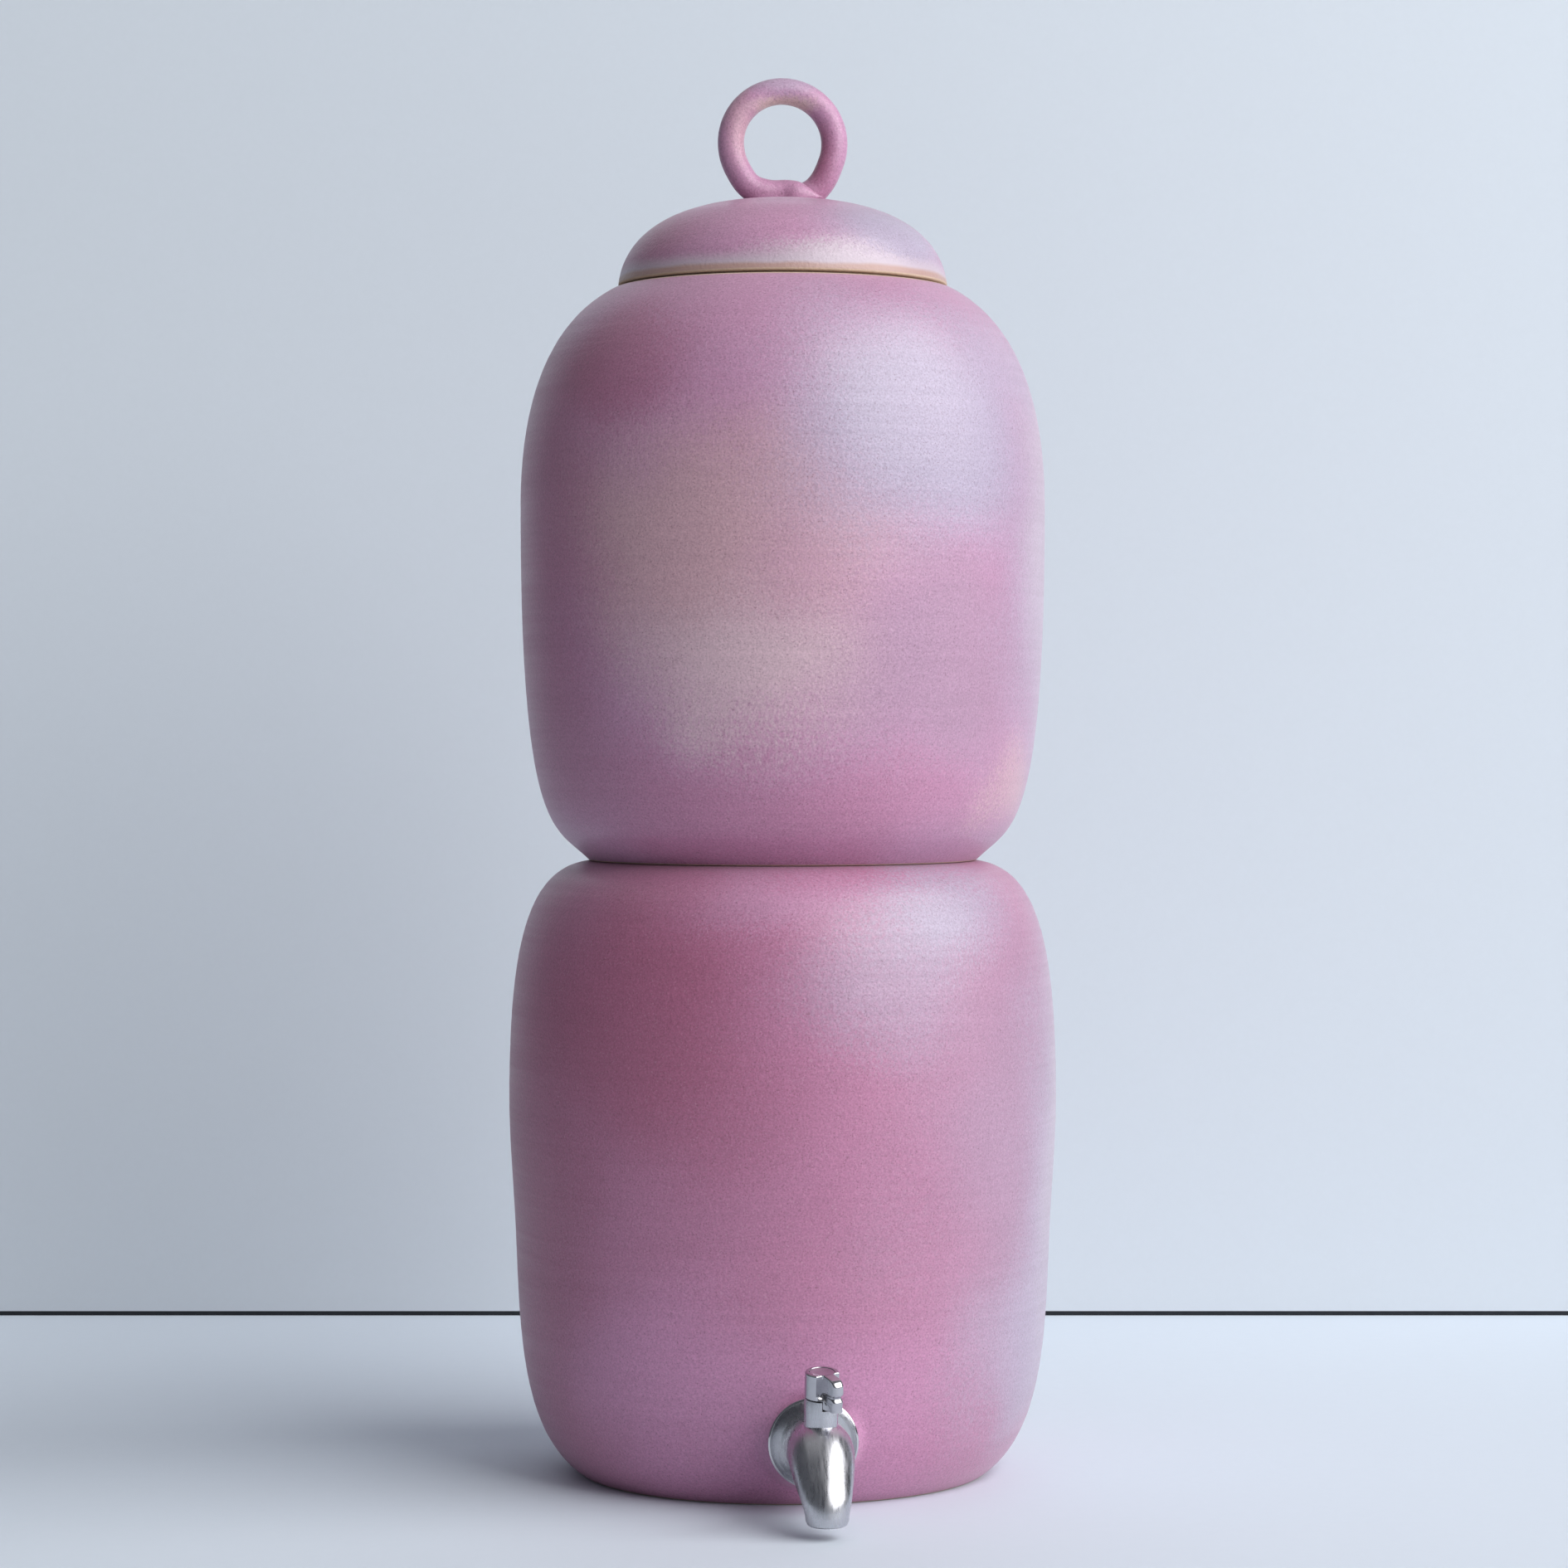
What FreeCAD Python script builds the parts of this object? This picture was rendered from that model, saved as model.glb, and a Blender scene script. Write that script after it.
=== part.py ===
import FreeCAD, Part
import os
import re
import Sketcher

# A two-tier clay water filter.  The upper pot stands on the lower one and holds the
# filter candle; the lower pot keeps the clean water and carries the tap.
# +Z is up, the origin is the centre of the lower pot's foot, and the tap points to -Y.
# All lengths are in millimetres and all angles in degrees.

SIZES = [
    # clay shared by both pots
    ("wall", "8", "thickness of the thrown walls"),
    ("rim_fillet", "2.5", "rounding of each mouth's edges"),
    ("seat_clearance", "1", "radial play of a locating ring in the mouth below it"),
    # lower pot
    ("lower_height", "241.3", "table to the flat rim that carries the upper pot"),
    ("lower_foot_radius", "79.85", "edge of the flat foot"),
    ("lower_flare_reach", "24.9", "how far out the foot's curve aims"),
    ("lower_flare_rise", "15.8", "how far up the foot's curve aims"),
    ("lower_heel_inset", "2.35", "belly's radius less that where the foot's curve meets the wall"),
    ("lower_heel_height", "98.5", "height of that place"),
    ("lower_heel_slope", "0.048", "outward lean of the wall there"),
    ("lower_belly_radius", "108.1", "widest radius"),
    ("lower_belly_height", "148", "height of the widest place"),
    ("lower_crown_radius", "72.3", "outer edge of the flat rim"),
    ("lower_mouth_radius", "63", "inside of the mouth"),
    ("lower_floor", "9", "thickness of the bottom"),
    ("lower_floor_radius", "66", "edge of the flat floor inside"),
    # upper pot
    ("upper_height", "225.2", "underside of the pot to its rim"),
    ("upper_foot_radius", "76.5", "edge of the flat foot"),
    ("upper_belly_radius", "103.5", "widest radius"),
    ("upper_belly_rise", "138.7", "underside of the pot to the widest place"),
    ("upper_crown_radius", "66", "outer edge of the flat rim"),
    ("upper_mouth_radius", "57", "inside of the mouth"),
    ("upper_floor", "9", "thickness of the bottom"),
    ("upper_floor_radius", "68", "edge of the flat floor inside"),
    ("upper_ring_width", "7", "radial width of the locating ring under the pot"),
    ("upper_ring_depth", "6", "how deep that ring reaches into the lower mouth"),
    # lid and its handle
    ("lid_radius", "65", "edge of the lid"),
    ("lid_height", "35.1", "pot rim to the lid's crown"),
    ("lid_edge_lift", "0.9", "gap between the lid's edge and the pot's rim"),
    ("lid_edge_width", "3.4", "width of that raised edge"),
    ("lid_thickness", "6.5", "thickness of the dome"),
    ("lid_ring_width", "5", "radial width of the locating ring under the lid"),
    ("lid_ring_depth", "9", "how deep that ring reaches into the mouth"),
    ("ring_hole_radius", "15.35", "finger hole of the handle"),
    ("ring_coil_radius", "5.2", "radius of the rolled coil"),
    ("ring_rise", "22.4", "crown of the lid to the centre of the ring"),
    # filter candle
    ("stem_radius", "6", "outside of the candle's threaded stem"),
    ("stem_bore_radius", "3", "water way through the stem"),
    ("stem_tail", "7", "length of stem that shows below the wing nut"),
    ("stem_hole_clearance", "0.5", "radial play of the stem in the pot's hole"),
    ("gasket_clearance", "0.2", "radial play of the gaskets on the stem"),
    ("gasket_radius", "15", "outside of both gaskets"),
    ("floor_gasket_thickness", "2.5", "gasket between the candle and the floor"),
    ("under_gasket_thickness", "2", "gasket between the floor and the wing nut"),
    ("base_radius", "29", "outside of the candle's base cup"),
    ("base_thickness", "5", "thickness of the cup's bottom"),
    ("base_rim_height", "14", "height of the cup's rim"),
    ("candle_radius", "25", "outside of the ceramic candle"),
    ("candle_wall", "6.5", "thickness of the candle's shell"),
    ("candle_height", "125", "length of the candle above its base"),
    ("candle_fit", "0.3", "radial play of the candle in its cup"),
    ("core_fit", "0.4", "radial play of the carbon core in the candle"),
    ("core_height", "92", "length of the carbon core"),
    ("core_bore_radius", "4", "hole up the middle of the core"),
    ("wing_hub_radius", "9.5", "hub of the wing nut"),
    ("wing_hub_height", "8", "height of that hub"),
    ("wing_span_radius", "17", "axis to the tip of each wing"),
    ("wing_thickness", "3", "thickness of each wing"),
    ("wing_height", "11", "height of each wing"),
    ("thread_fit", "0.05", "radial play that stands for a screw thread"),
    # tap seat in the lower pot
    ("tap_height", "27.5", "table to the tap's axis"),
    ("seat_depth", "1.3", "how deep the tap's flat seat is cut at the flange's top edge"),
    ("land_thickness", "12", "clay between the two flat seats"),
    ("land_radius", "15.2", "radius of the flat seats"),
    ("tap_hole_clearance", "0.5", "radial play of the shank in the pot's hole"),
    # tap
    ("shank_radius", "8", "outside of the threaded shank"),
    ("supply_radius", "4.5", "water way through the shank"),
    ("shank_tail", "3.5", "length of shank beyond the lock nut"),
    ("washer_clearance", "0.2", "radial play of the washers on the shank"),
    ("washer_radius", "13.5", "outside of the washers"),
    ("outer_washer_thickness", "2", "soft washer outside the pot"),
    ("inner_washer_thickness", "2.5", "soft washer inside the pot"),
    ("steel_washer_thickness", "1.2", "steel washer under the lock nut"),
    ("flange_radius", "17", "outside of the round flange"),
    ("flange_thickness", "1.4", "thickness of the flange"),
    ("flange_dish", "0.9", "how far its edge curls forward"),
    ("nut_flats", "24", "lock nut across its flats"),
    ("nut_thickness", "7", "thickness of the lock nut"),
    ("elbow_radius", "11.9", "radius of the tap's body at the flange"),
    ("elbow_straight", "11", "length of body before the bend"),
    ("bend_reach", "25", "seat to the first section of the bend"),
    ("bend_radius", "11.4", "body radius there"),
    ("throat_reach", "39", "seat to the middle of the bend"),
    ("throat_drop", "9.5", "drop of the bend's middle"),
    ("throat_radius", "9.8", "body radius there"),
    ("spout_reach", "48", "seat to the spout's end"),
    ("spout_drop", "22.5", "drop of the spout's end"),
    ("spout_radius", "7.8", "outside of the spout's end"),
    ("spout_angle", "80", "how steeply the spout points down"),
    ("spout_wall", "1.7", "thickness of the spout's wall"),
    ("neck_forward", "25", "seat to the foot of the valve neck"),
    ("neck_lean", "10.5", "forward lean of the valve neck"),
    ("neck_radius", "6.2", "outside of the valve neck"),
    ("neck_height", "21.6", "tap's axis to the top of the neck"),
    # valve inside the neck, heights measured along the neck from the tap's axis
    ("valve_radius", "4.9", "bore of the neck"),
    ("valve_depth", "7", "depth of that bore below the tap's axis"),
    ("running_fit", "0.06", "radial play of the turning pieces"),
    ("rest_fit", "0.1", "end play of the turning pieces"),
    ("sleeve_thickness", "0.65", "wall of the sealing sleeve"),
    ("sleeve_top", "6.4", "top of the sealing sleeve"),
    ("port_radius", "2.6", "water way through sleeve and spindle"),
    ("spindle_shoulder", "13", "top of the spindle's thick part"),
    ("stem_neck_radius", "3.1", "radius of the spindle above it"),
    ("square_base", "20", "foot of the spindle's square"),
    ("square_top", "26.9", "top of the spindle's square"),
    ("square_width", "4.4", "width of the square"),
    ("oring_wire", "0.62", "wire radius of the O-rings"),
    ("oring_clearance", "0.03", "play of the O-rings in groove and bore"),
    ("oring_low", "8.6", "height of the lower O-ring"),
    ("oring_high", "11.2", "height of the upper O-ring"),
    ("groove_width", "1.5", "width of the O-ring grooves"),
    ("thrust_thickness", "0.9", "thickness of the thrust washer"),
    ("clip_thickness", "1", "thickness of the retaining clip"),
    ("clip_grip", "0.45", "how far the clip bites into the neck"),
    ("clip_width", "1.9", "radial width of the clip"),
    ("clip_gap", "3", "opening of the clip"),
    # tap handle
    ("handle_radius", "6.3", "outside of the cap"),
    ("handle_gap", "0.35", "gap between neck and cap"),
    ("handle_height", "9.6", "height of the cap"),
    ("handle_bevel", "0.6", "bevel of the cap's top edge"),
    ("tab_depth", "3", "how far the stop tab reaches down"),
    ("tab_angle", "80", "angle that the tab spans"),
    ("tab_start", "-1.5", "tab's first edge, from the front towards +X"),
    ("stop_play", "2", "angle left free at each stop"),
    ("handle_travel", "90", "turn from closed to open"),
    ("lever_azimuth", "26", "where the lever points, from the front towards +X"),
    ("lever_reach", "12", "neck's axis to the lever's tip"),
    ("lever_thickness", "4.4", "thickness of the lever"),
    ("lever_tip_height", "5.2", "height of the lever's tip"),
    ("lever_fall", "1", "drop of the lever's top from cap to tip"),
    ("lever_groove", "0.8", "depth and half height of the thumb groove under the tip"),
    ("lever_foot_inset", "0.3", "how far the lever's foot lies behind its tip"),
    ("socket_play", "0.05", "play between square and socket on each side"),
    ("recess_radius", "4.7", "recess for the cover"),
    ("recess_depth", "1.4", "depth of that recess"),
    ("cover_thickness", "1.1", "thickness of the cover"),
    ("cover_fit", "0.1", "radial play of the cover"),
    ("cover_dish", "0.5", "hollow in the cover's face"),
    ("screw_head_radius", "2.6", "head of the handle screw"),
    ("screw_head_height", "1.5", "height of the head"),
    ("screw_radius", "1.5", "shank of the handle screw"),
    ("screw_length", "5.2", "length below the head"),
    ("screw_fit", "0.15", "radial play around the screw"),
    ("screw_socket_radius", "1.2", "hexagon socket in the head, across corners"),
]

# Fullness of the free curves, as shares of each curve's rise and reach.
LOWER_SHOULDER_RISE = 0.75
LOWER_SHOULDER_REACH = 0.71
HEEL_SHARE = 0.33
FOOT_SHARE = 0.392
UPPER_SHOULDER_RISE = 0.623
UPPER_SHOULDER_REACH = 0.518
UPPER_SHOULDER_DROP = 0.108
UPPER_FOOT_RISE = 0.947
UPPER_FOOT_REACH = 0.495
UPPER_FOOT_LIFT = 0.098
INSIDE_SHARE = 0.72
LID_EDGE_RISE = 0.38
LID_CROWN_REACH = 0.83
LID_EDGE_LEAN = 0.02
DOME_SHARE = 0.55
SEAT_SHARE = 0.52
LEVER_ROOT_SHARE = 0.3
LEVER_NOSE_SHARE = 0.3

# How far the tap's bend has dropped and tipped at its sections, as shares of the throat's
# drop and of the spout's angle; the water way inside turns a little ahead of the body.
BEND_DROP_SHARE = 0.12
BEND_TIP_SHARE = 0.2
THROAT_TIP_SHARE = 0.62
INLET_TIP_SHARE = 0.1
CHANNEL_DROP_SHARE = 0.3
CHANNEL_TIP_SHARE = 0.35


def curve_place(start, first_aim, second_aim, end, share):
    """Give the formula of the place that lies a share of the way along a cubic curve."""
    rest = 1 - share
    return (
        f"(({start}) * {rest ** 3:.6f} + ({first_aim}) * {3 * rest ** 2 * share:.6f}"
        f" + ({second_aim}) * {3 * rest * share ** 2:.6f} + ({end}) * {share ** 3:.6f})"
    )


# Heights and places worked out from the sizes.
HEEL_RADIUS = "(lower_belly_radius - lower_heel_inset)"
FOOT_AIM = f"(lower_heel_height * {FOOT_SHARE})"
FOOT_CURVE_RADII = (
    "lower_foot_radius",
    "lower_foot_radius + lower_flare_reach",
    f"{HEEL_RADIUS} - lower_heel_slope * {FOOT_AIM}",
    HEEL_RADIUS,
)
TAP_REACH = f"({curve_place(*FOOT_CURVE_RADII, SEAT_SHARE)} - seat_depth)"
UPPER_BASE = "lower_height"
UPPER_FLOOR_TOP = "(lower_height + upper_floor)"
UPPER_RIM = "(lower_height + upper_height)"
UPPER_BELLY = "(lower_height + upper_belly_rise)"
LID_CROWN = "(lower_height + upper_height + lid_height)"
LID_EDGE = "(lower_height + upper_height + lid_edge_lift)"
RING_CENTRE = "(lower_height + upper_height + lid_height + ring_rise)"
CANDLE_BASE = "(lower_height + upper_floor + floor_gasket_thickness)"
FLANGE_FACE = "(outer_washer_thickness + flange_thickness)"
NUT_SEAT = "(land_thickness + inner_washer_thickness + steel_washer_thickness)"
CAP_BOTTOM = "(neck_height + handle_gap)"
CAP_TOP = "(neck_height + handle_gap + handle_height)"
RECESS_FLOOR = "(neck_height + handle_gap + handle_height - recess_depth)"
HEAD_SEAT = "(neck_height + handle_gap + handle_height - recess_depth - screw_head_height)"
CLIP_BASE = "(spindle_shoulder + thrust_thickness + 2 * rest_fit)"
PLUG_RADIUS = "(valve_radius - running_fit - sleeve_thickness - running_fit)"
SLEEVE_FOOT = "(rest_fit - valve_depth)"
GROOVE_RADIUS = "(valve_radius - 2 * oring_wire - 2 * oring_clearance)"

doc = FreeCAD.newDocument("ClayWaterFilter")
sheet = doc.addObject("Spreadsheet::Sheet", "Sizes")
for row, (alias, number, meaning) in enumerate(SIZES, start=1):
    sheet.set(f"A{row}", meaning)
    sheet.set(f"B{row}", number)
    sheet.setAlias(f"B{row}", alias)
doc.recompute()

ALIASES = {alias for alias, number, meaning in SIZES}
PARTS = []


def bound(text):
    """Write a formula of the sizes as an expression that reads the sheet."""
    return re.sub(
        r"[a-z_]+",
        lambda word: "Sizes." + word.group() if word.group() in ALIASES else word.group(),
        str(text),
    )


def value(text):
    """Give a formula's present number."""
    return float(sheet.evalExpression(bound(text)))


def between(start, end, share):
    """Give the formula of a place that lies a share of the way from start to end."""
    return f"({start} + ({end} - ({start})) * {share})"


def new_body(label):
    body = doc.addObject("PartDesign::Body", label)
    body.Label = label
    return body


def new_sketch(body, name, plane="XZ_Plane"):
    """Make a sketch on one of the body's own origin planes."""
    sketch = body.newObject("Sketcher::SketchObject", name)
    support = next(o for o in body.Origin.OriginFeatures if o.Role == plane)
    sketch.AttachmentSupport = [(support, "")]
    sketch.MapMode = "FlatFace"
    return sketch


def pin_point(sketch, geometry, end, across, up):
    """Hold one point of a sketch at the formulas across and up."""
    for kind, text, axis in (("DistanceX", across, -2), ("DistanceY", up, -1)):
        if text == "0":
            sketch.addConstraint(Sketcher.Constraint("PointOnObject", geometry, end, axis))
            continue
        number = sketch.addConstraint(
            Sketcher.Constraint(kind, -1, 1, geometry, end, value(text))
        )
        sketch.setExpression(f"Constraints[{number}]", bound(text))


def draw(sketch, points):
    """Draw a closed outline.

    points holds the outline's corners as pairs of formulas.  A corner with six formulas is
    reached by a cubic curve: its two aiming points come first, then the corner itself.
    """
    spots = [FreeCAD.Vector(value(p[-2]), value(p[-1]), 0) for p in points]
    count = len(points)
    ends = []
    for index in range(count):
        target = points[(index + 1) % count]
        here = spots[index]
        there = spots[(index + 1) % count]
        if len(target) == 2:
            edge = sketch.addGeometry(Part.LineSegment(here, there), False)
        else:
            aims = [FreeCAD.Vector(value(target[i]), value(target[i + 1]), 0) for i in (0, 2)]
            curve = Part.BSplineCurve()
            curve.buildFromPolesMultsKnots([here, *aims, there], [4, 4], [0, 1], False, 3)
            edge = sketch.addGeometry(curve, False)
        ends.append(edge)
    for index, edge in enumerate(ends):
        follower = ends[(index + 1) % count]
        sketch.addConstraint(Sketcher.Constraint("Coincident", edge, 2, follower, 1))
        pin_point(sketch, edge, 1, points[index][-2], points[index][-1])
    for index, edge in enumerate(ends):
        target = points[(index + 1) % count]
        if len(target) == 2:
            continue
        first_pole = len(sketch.Geometry)
        sketch.exposeInternalGeometry(edge)
        pin_point(sketch, first_pole + 1, 3, target[0], target[1])
        pin_point(sketch, first_pole + 2, 3, target[2], target[3])


def revolve(body, name, points, plane="XZ_Plane", angle="360", turned="0"):
    """Spin an outline about the vertical axis of its sketch.

    turned swings the sketch about that axis before it is spun.
    """
    sketch = new_sketch(body, name + "_outline", plane)
    draw(sketch, points)
    swing_sketch(sketch, turned)
    feature = body.newObject("PartDesign::Revolution", name)
    feature.Profile = sketch
    feature.ReferenceAxis = (sketch, ["V_Axis"])
    feature.setExpression("Angle", bound(angle))
    doc.recompute()
    return feature


def swing_sketch(sketch, angle):
    """Turn a sketch about its own vertical axis by a formula."""
    if angle == "0":
        return
    sketch.AttachmentOffset = FreeCAD.Placement(
        FreeCAD.Vector(), FreeCAD.Rotation(FreeCAD.Vector(0, 1, 0), value(angle))
    )
    sketch.setExpression("AttachmentOffset.Rotation.Angle", bound(angle))


def round_sketch(body, name, plane, radius, lift="0", across="0", up="0"):
    """Draw one circle, lifted off its plane by the formula lift."""
    sketch = new_sketch(body, name, plane)
    middle = FreeCAD.Vector(value(across), value(up), 0)
    circle = Part.Circle(middle, FreeCAD.Vector(0, 0, 1), value(radius))
    ring = sketch.addGeometry(circle, False)
    number = sketch.addConstraint(Sketcher.Constraint("Radius", ring, value(radius)))
    sketch.setExpression(f"Constraints[{number}]", bound(radius))
    pin_point(sketch, ring, 3, across, up)
    sketch.setExpression("AttachmentOffset.Base.z", bound(lift))
    return sketch


def polygon_sketch(body, name, sides, corner_radius, lift):
    """Draw a regular polygon about the origin, level at the height lift."""
    sketch = new_sketch(body, name, "XY_Plane")
    step = 360 / sides
    draw(sketch, [
        (f"({corner_radius}) * cos({(i + 0.5) * step})", f"({corner_radius}) * sin({(i + 0.5) * step})")
        for i in range(sides)
    ])
    sketch.setExpression("AttachmentOffset.Base.z", bound(lift))
    return sketch


def extrude(body, name, kind, sketch, length, reversed_way=False, midplane=False):
    """Pad or pocket a sketch and check that the volume changed the right way."""
    before = body.Shape.Volume if not body.Shape.isNull() else 0
    feature = body.newObject(kind, name)
    feature.Profile = sketch
    feature.setExpression("Length", bound(length))
    feature.Reversed = reversed_way
    feature.Midplane = midplane
    doc.recompute()
    grew = body.Shape.Volume - before
    wanted = 1 if kind == "PartDesign::Pad" else -1
    if grew * wanted <= 0:
        raise RuntimeError(f"{name} changed nothing in {body.Label}")
    return feature


def fillet(body, name, radius, *circles):
    """Round the level circular edges that lie at the given (radius, height) pairs."""
    base = body.Tip
    wanted = [(value(r), value(z)) for r, z in circles]
    names = []
    for index, edge in enumerate(base.Shape.Edges, start=1):
        if not isinstance(edge.Curve, Part.Circle):
            continue
        spot = (edge.Curve.Radius, edge.Curve.Center.z)
        if any(abs(spot[0] - r) < 0.01 and abs(spot[1] - z) < 0.01 for r, z in wanted):
            names.append(f"Edge{index}")
    feature = body.newObject("PartDesign::Fillet", name)
    feature.Base = (base, names)
    feature.setExpression("Radius", bound(radius))
    doc.recompute()
    return feature


def place(item, across="0", deep="0", up="0", lean=None):
    """Place an item by formulas; lean tips it about X."""
    angle = 0 if lean is None else value(lean)
    item.Placement = FreeCAD.Placement(
        FreeCAD.Vector(value(across), value(deep), value(up)),
        FreeCAD.Rotation(FreeCAD.Vector(1, 0, 0), angle),
    )
    item.setExpression("Placement.Base.x", bound(across))
    item.setExpression("Placement.Base.y", bound(deep))
    item.setExpression("Placement.Base.z", bound(up))
    if lean is not None:
        item.setExpression("Placement.Rotation.Angle", bound(lean))


def keep(item, label=None):
    """Name a finished piece and list it for export."""
    if label:
        item.Label = label
    PARTS.append(item)
    return item


def on_tap_seat(item):
    """Place a piece whose Y axis is the shank's and whose origin is on the pot's seat."""
    place(item, "0", f"-{TAP_REACH}", "tap_height")
    return keep(item)


def in_neck(item):
    """Place a piece whose Z axis is the valve neck's and whose origin is on the tap's axis."""
    place(item, "0", f"-({TAP_REACH} + neck_forward)", "tap_height", "neck_lean")
    return keep(item)


def ring_outline(inner, outer, low, high):
    """Outline of a plain ring with a square section."""
    return [(inner, low), (outer, low), (outer, high), (inner, high)]


# ---------------------------------------------------------------- the two pots

def lower_pot():
    """Lower jar: flat foot, slightly conical wall, full shoulder and a flat rim."""
    body = new_body("lower_pot")
    inner_belly = "(lower_belly_radius - wall)"
    inner_heel = f"({HEEL_RADIUS} - wall)"
    throat = "(lower_height - wall)"
    heel_run = f"((lower_belly_height - lower_heel_height) * {HEEL_SHARE})"
    revolve(body, "jar", [
        ("0", "0"),
        ("lower_foot_radius", "0"),
        (
            FOOT_CURVE_RADII[1], "lower_flare_rise",
            FOOT_CURVE_RADII[2], f"lower_heel_height - {FOOT_AIM}",
            HEEL_RADIUS, "lower_heel_height",
        ),
        (
            f"{HEEL_RADIUS} + lower_heel_slope * {heel_run}", f"lower_heel_height + {heel_run}",
            "lower_belly_radius", f"lower_belly_height - {heel_run}",
            "lower_belly_radius", "lower_belly_height",
        ),
        (
            "lower_belly_radius", between("lower_belly_height", "lower_height", LOWER_SHOULDER_RISE),
            between("lower_crown_radius", "lower_belly_radius", LOWER_SHOULDER_REACH), "lower_height",
            "lower_crown_radius", "lower_height",
        ),
        ("lower_mouth_radius", "lower_height"),
        ("lower_mouth_radius", throat),
        (
            between("lower_mouth_radius", inner_belly, INSIDE_SHARE), throat,
            inner_belly, between("lower_belly_height", throat, INSIDE_SHARE),
            inner_belly, "lower_belly_height",
        ),
        (
            inner_belly, f"lower_belly_height - {heel_run}",
            f"{inner_heel} + lower_heel_slope * {heel_run}", f"lower_heel_height + {heel_run}",
            inner_heel, "lower_heel_height",
        ),
        (
            f"{inner_heel} - lower_heel_slope * {FOOT_AIM}", f"lower_heel_height - {FOOT_AIM}",
            "lower_floor_radius + lower_flare_reach", "lower_floor",
            "lower_floor_radius", "lower_floor",
        ),
        ("0", "lower_floor"),
    ])
    fillet(
        body, "mouth_rounding", "rim_fillet",
        ("lower_mouth_radius", "lower_height"), ("lower_mouth_radius", throat),
    )
    inner_seat = f"({TAP_REACH} - land_thickness)"
    clear_outside = f"(lower_belly_radius - {TAP_REACH} + wall)"
    clear_inside = "(2 * wall)"
    land = round_sketch(body, "land", "XZ_Plane", "land_radius", TAP_REACH, "0", "tap_height")
    extrude(body, "tap_land", "PartDesign::Pad", land, "land_thickness", reversed_way=True)
    front = round_sketch(body, "front", "XZ_Plane", "land_radius", TAP_REACH, "0", "tap_height")
    extrude(body, "front_facing", "PartDesign::Pocket", front, clear_outside, reversed_way=True)
    back = round_sketch(body, "back", "XZ_Plane", "land_radius", inner_seat, "0", "tap_height")
    extrude(body, "back_facing", "PartDesign::Pocket", back, clear_inside)
    bore = round_sketch(
        body, "bore", "XZ_Plane", "shank_radius + tap_hole_clearance", TAP_REACH, "0", "tap_height"
    )
    extrude(body, "tap_hole", "PartDesign::Pocket", bore, "2 * land_thickness")
    return keep(body)


def upper_pot():
    """Upper jar: it stands on the lower rim and its ring drops into the lower mouth."""
    body = new_body("upper_pot")
    inner_belly = "(upper_belly_radius - wall)"
    throat = f"({UPPER_RIM} - wall)"
    ring_outer = "(lower_mouth_radius - seat_clearance)"
    ring_inner = "(lower_mouth_radius - seat_clearance - upper_ring_width)"
    ring_foot = f"({UPPER_BASE} - upper_ring_depth)"
    revolve(body, "jar", [
        ("0", UPPER_BASE),
        (ring_inner, UPPER_BASE),
        (ring_inner, ring_foot),
        (ring_outer, ring_foot),
        (ring_outer, UPPER_BASE),
        ("upper_foot_radius", UPPER_BASE),
        (
            between("upper_foot_radius", "upper_belly_radius", UPPER_FOOT_REACH),
            between(UPPER_BASE, UPPER_BELLY, UPPER_FOOT_LIFT),
            "upper_belly_radius", between(UPPER_BELLY, UPPER_BASE, UPPER_FOOT_RISE),
            "upper_belly_radius", UPPER_BELLY,
        ),
        (
            "upper_belly_radius", between(UPPER_BELLY, UPPER_RIM, UPPER_SHOULDER_RISE),
            between("upper_crown_radius", "upper_belly_radius", UPPER_SHOULDER_REACH),
            between(UPPER_RIM, UPPER_BELLY, UPPER_SHOULDER_DROP),
            "upper_crown_radius", UPPER_RIM,
        ),
        ("upper_mouth_radius", UPPER_RIM),
        ("upper_mouth_radius", throat),
        (
            between("upper_mouth_radius", inner_belly, UPPER_SHOULDER_REACH),
            between(throat, UPPER_BELLY, UPPER_SHOULDER_DROP),
            inner_belly, between(UPPER_BELLY, throat, UPPER_SHOULDER_RISE),
            inner_belly, UPPER_BELLY,
        ),
        (
            inner_belly, between(UPPER_BELLY, UPPER_FLOOR_TOP, UPPER_FOOT_RISE),
            between("upper_floor_radius", inner_belly, INSIDE_SHARE), UPPER_FLOOR_TOP,
            "upper_floor_radius", UPPER_FLOOR_TOP,
        ),
        ("0", UPPER_FLOOR_TOP),
    ])
    fillet(
        body, "mouth_rounding", "rim_fillet",
        ("upper_mouth_radius", UPPER_RIM), ("upper_mouth_radius", throat),
    )
    bore = round_sketch(
        body, "bore", "XY_Plane", "stem_radius + stem_hole_clearance", UPPER_FLOOR_TOP
    )
    extrude(body, "stem_hole", "PartDesign::Pocket", bore, "2 * upper_floor")
    return keep(body)


def dome_curve():
    """Outer line of the lid, from its crown to its edge."""
    lean = f"(lid_radius * {LID_EDGE_LEAN})"
    return (
        f"lid_radius * {LID_CROWN_REACH}", LID_CROWN,
        f"lid_radius - {lean}", between(LID_EDGE, LID_CROWN, LID_EDGE_RISE),
        "lid_radius", LID_EDGE,
    )


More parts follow.
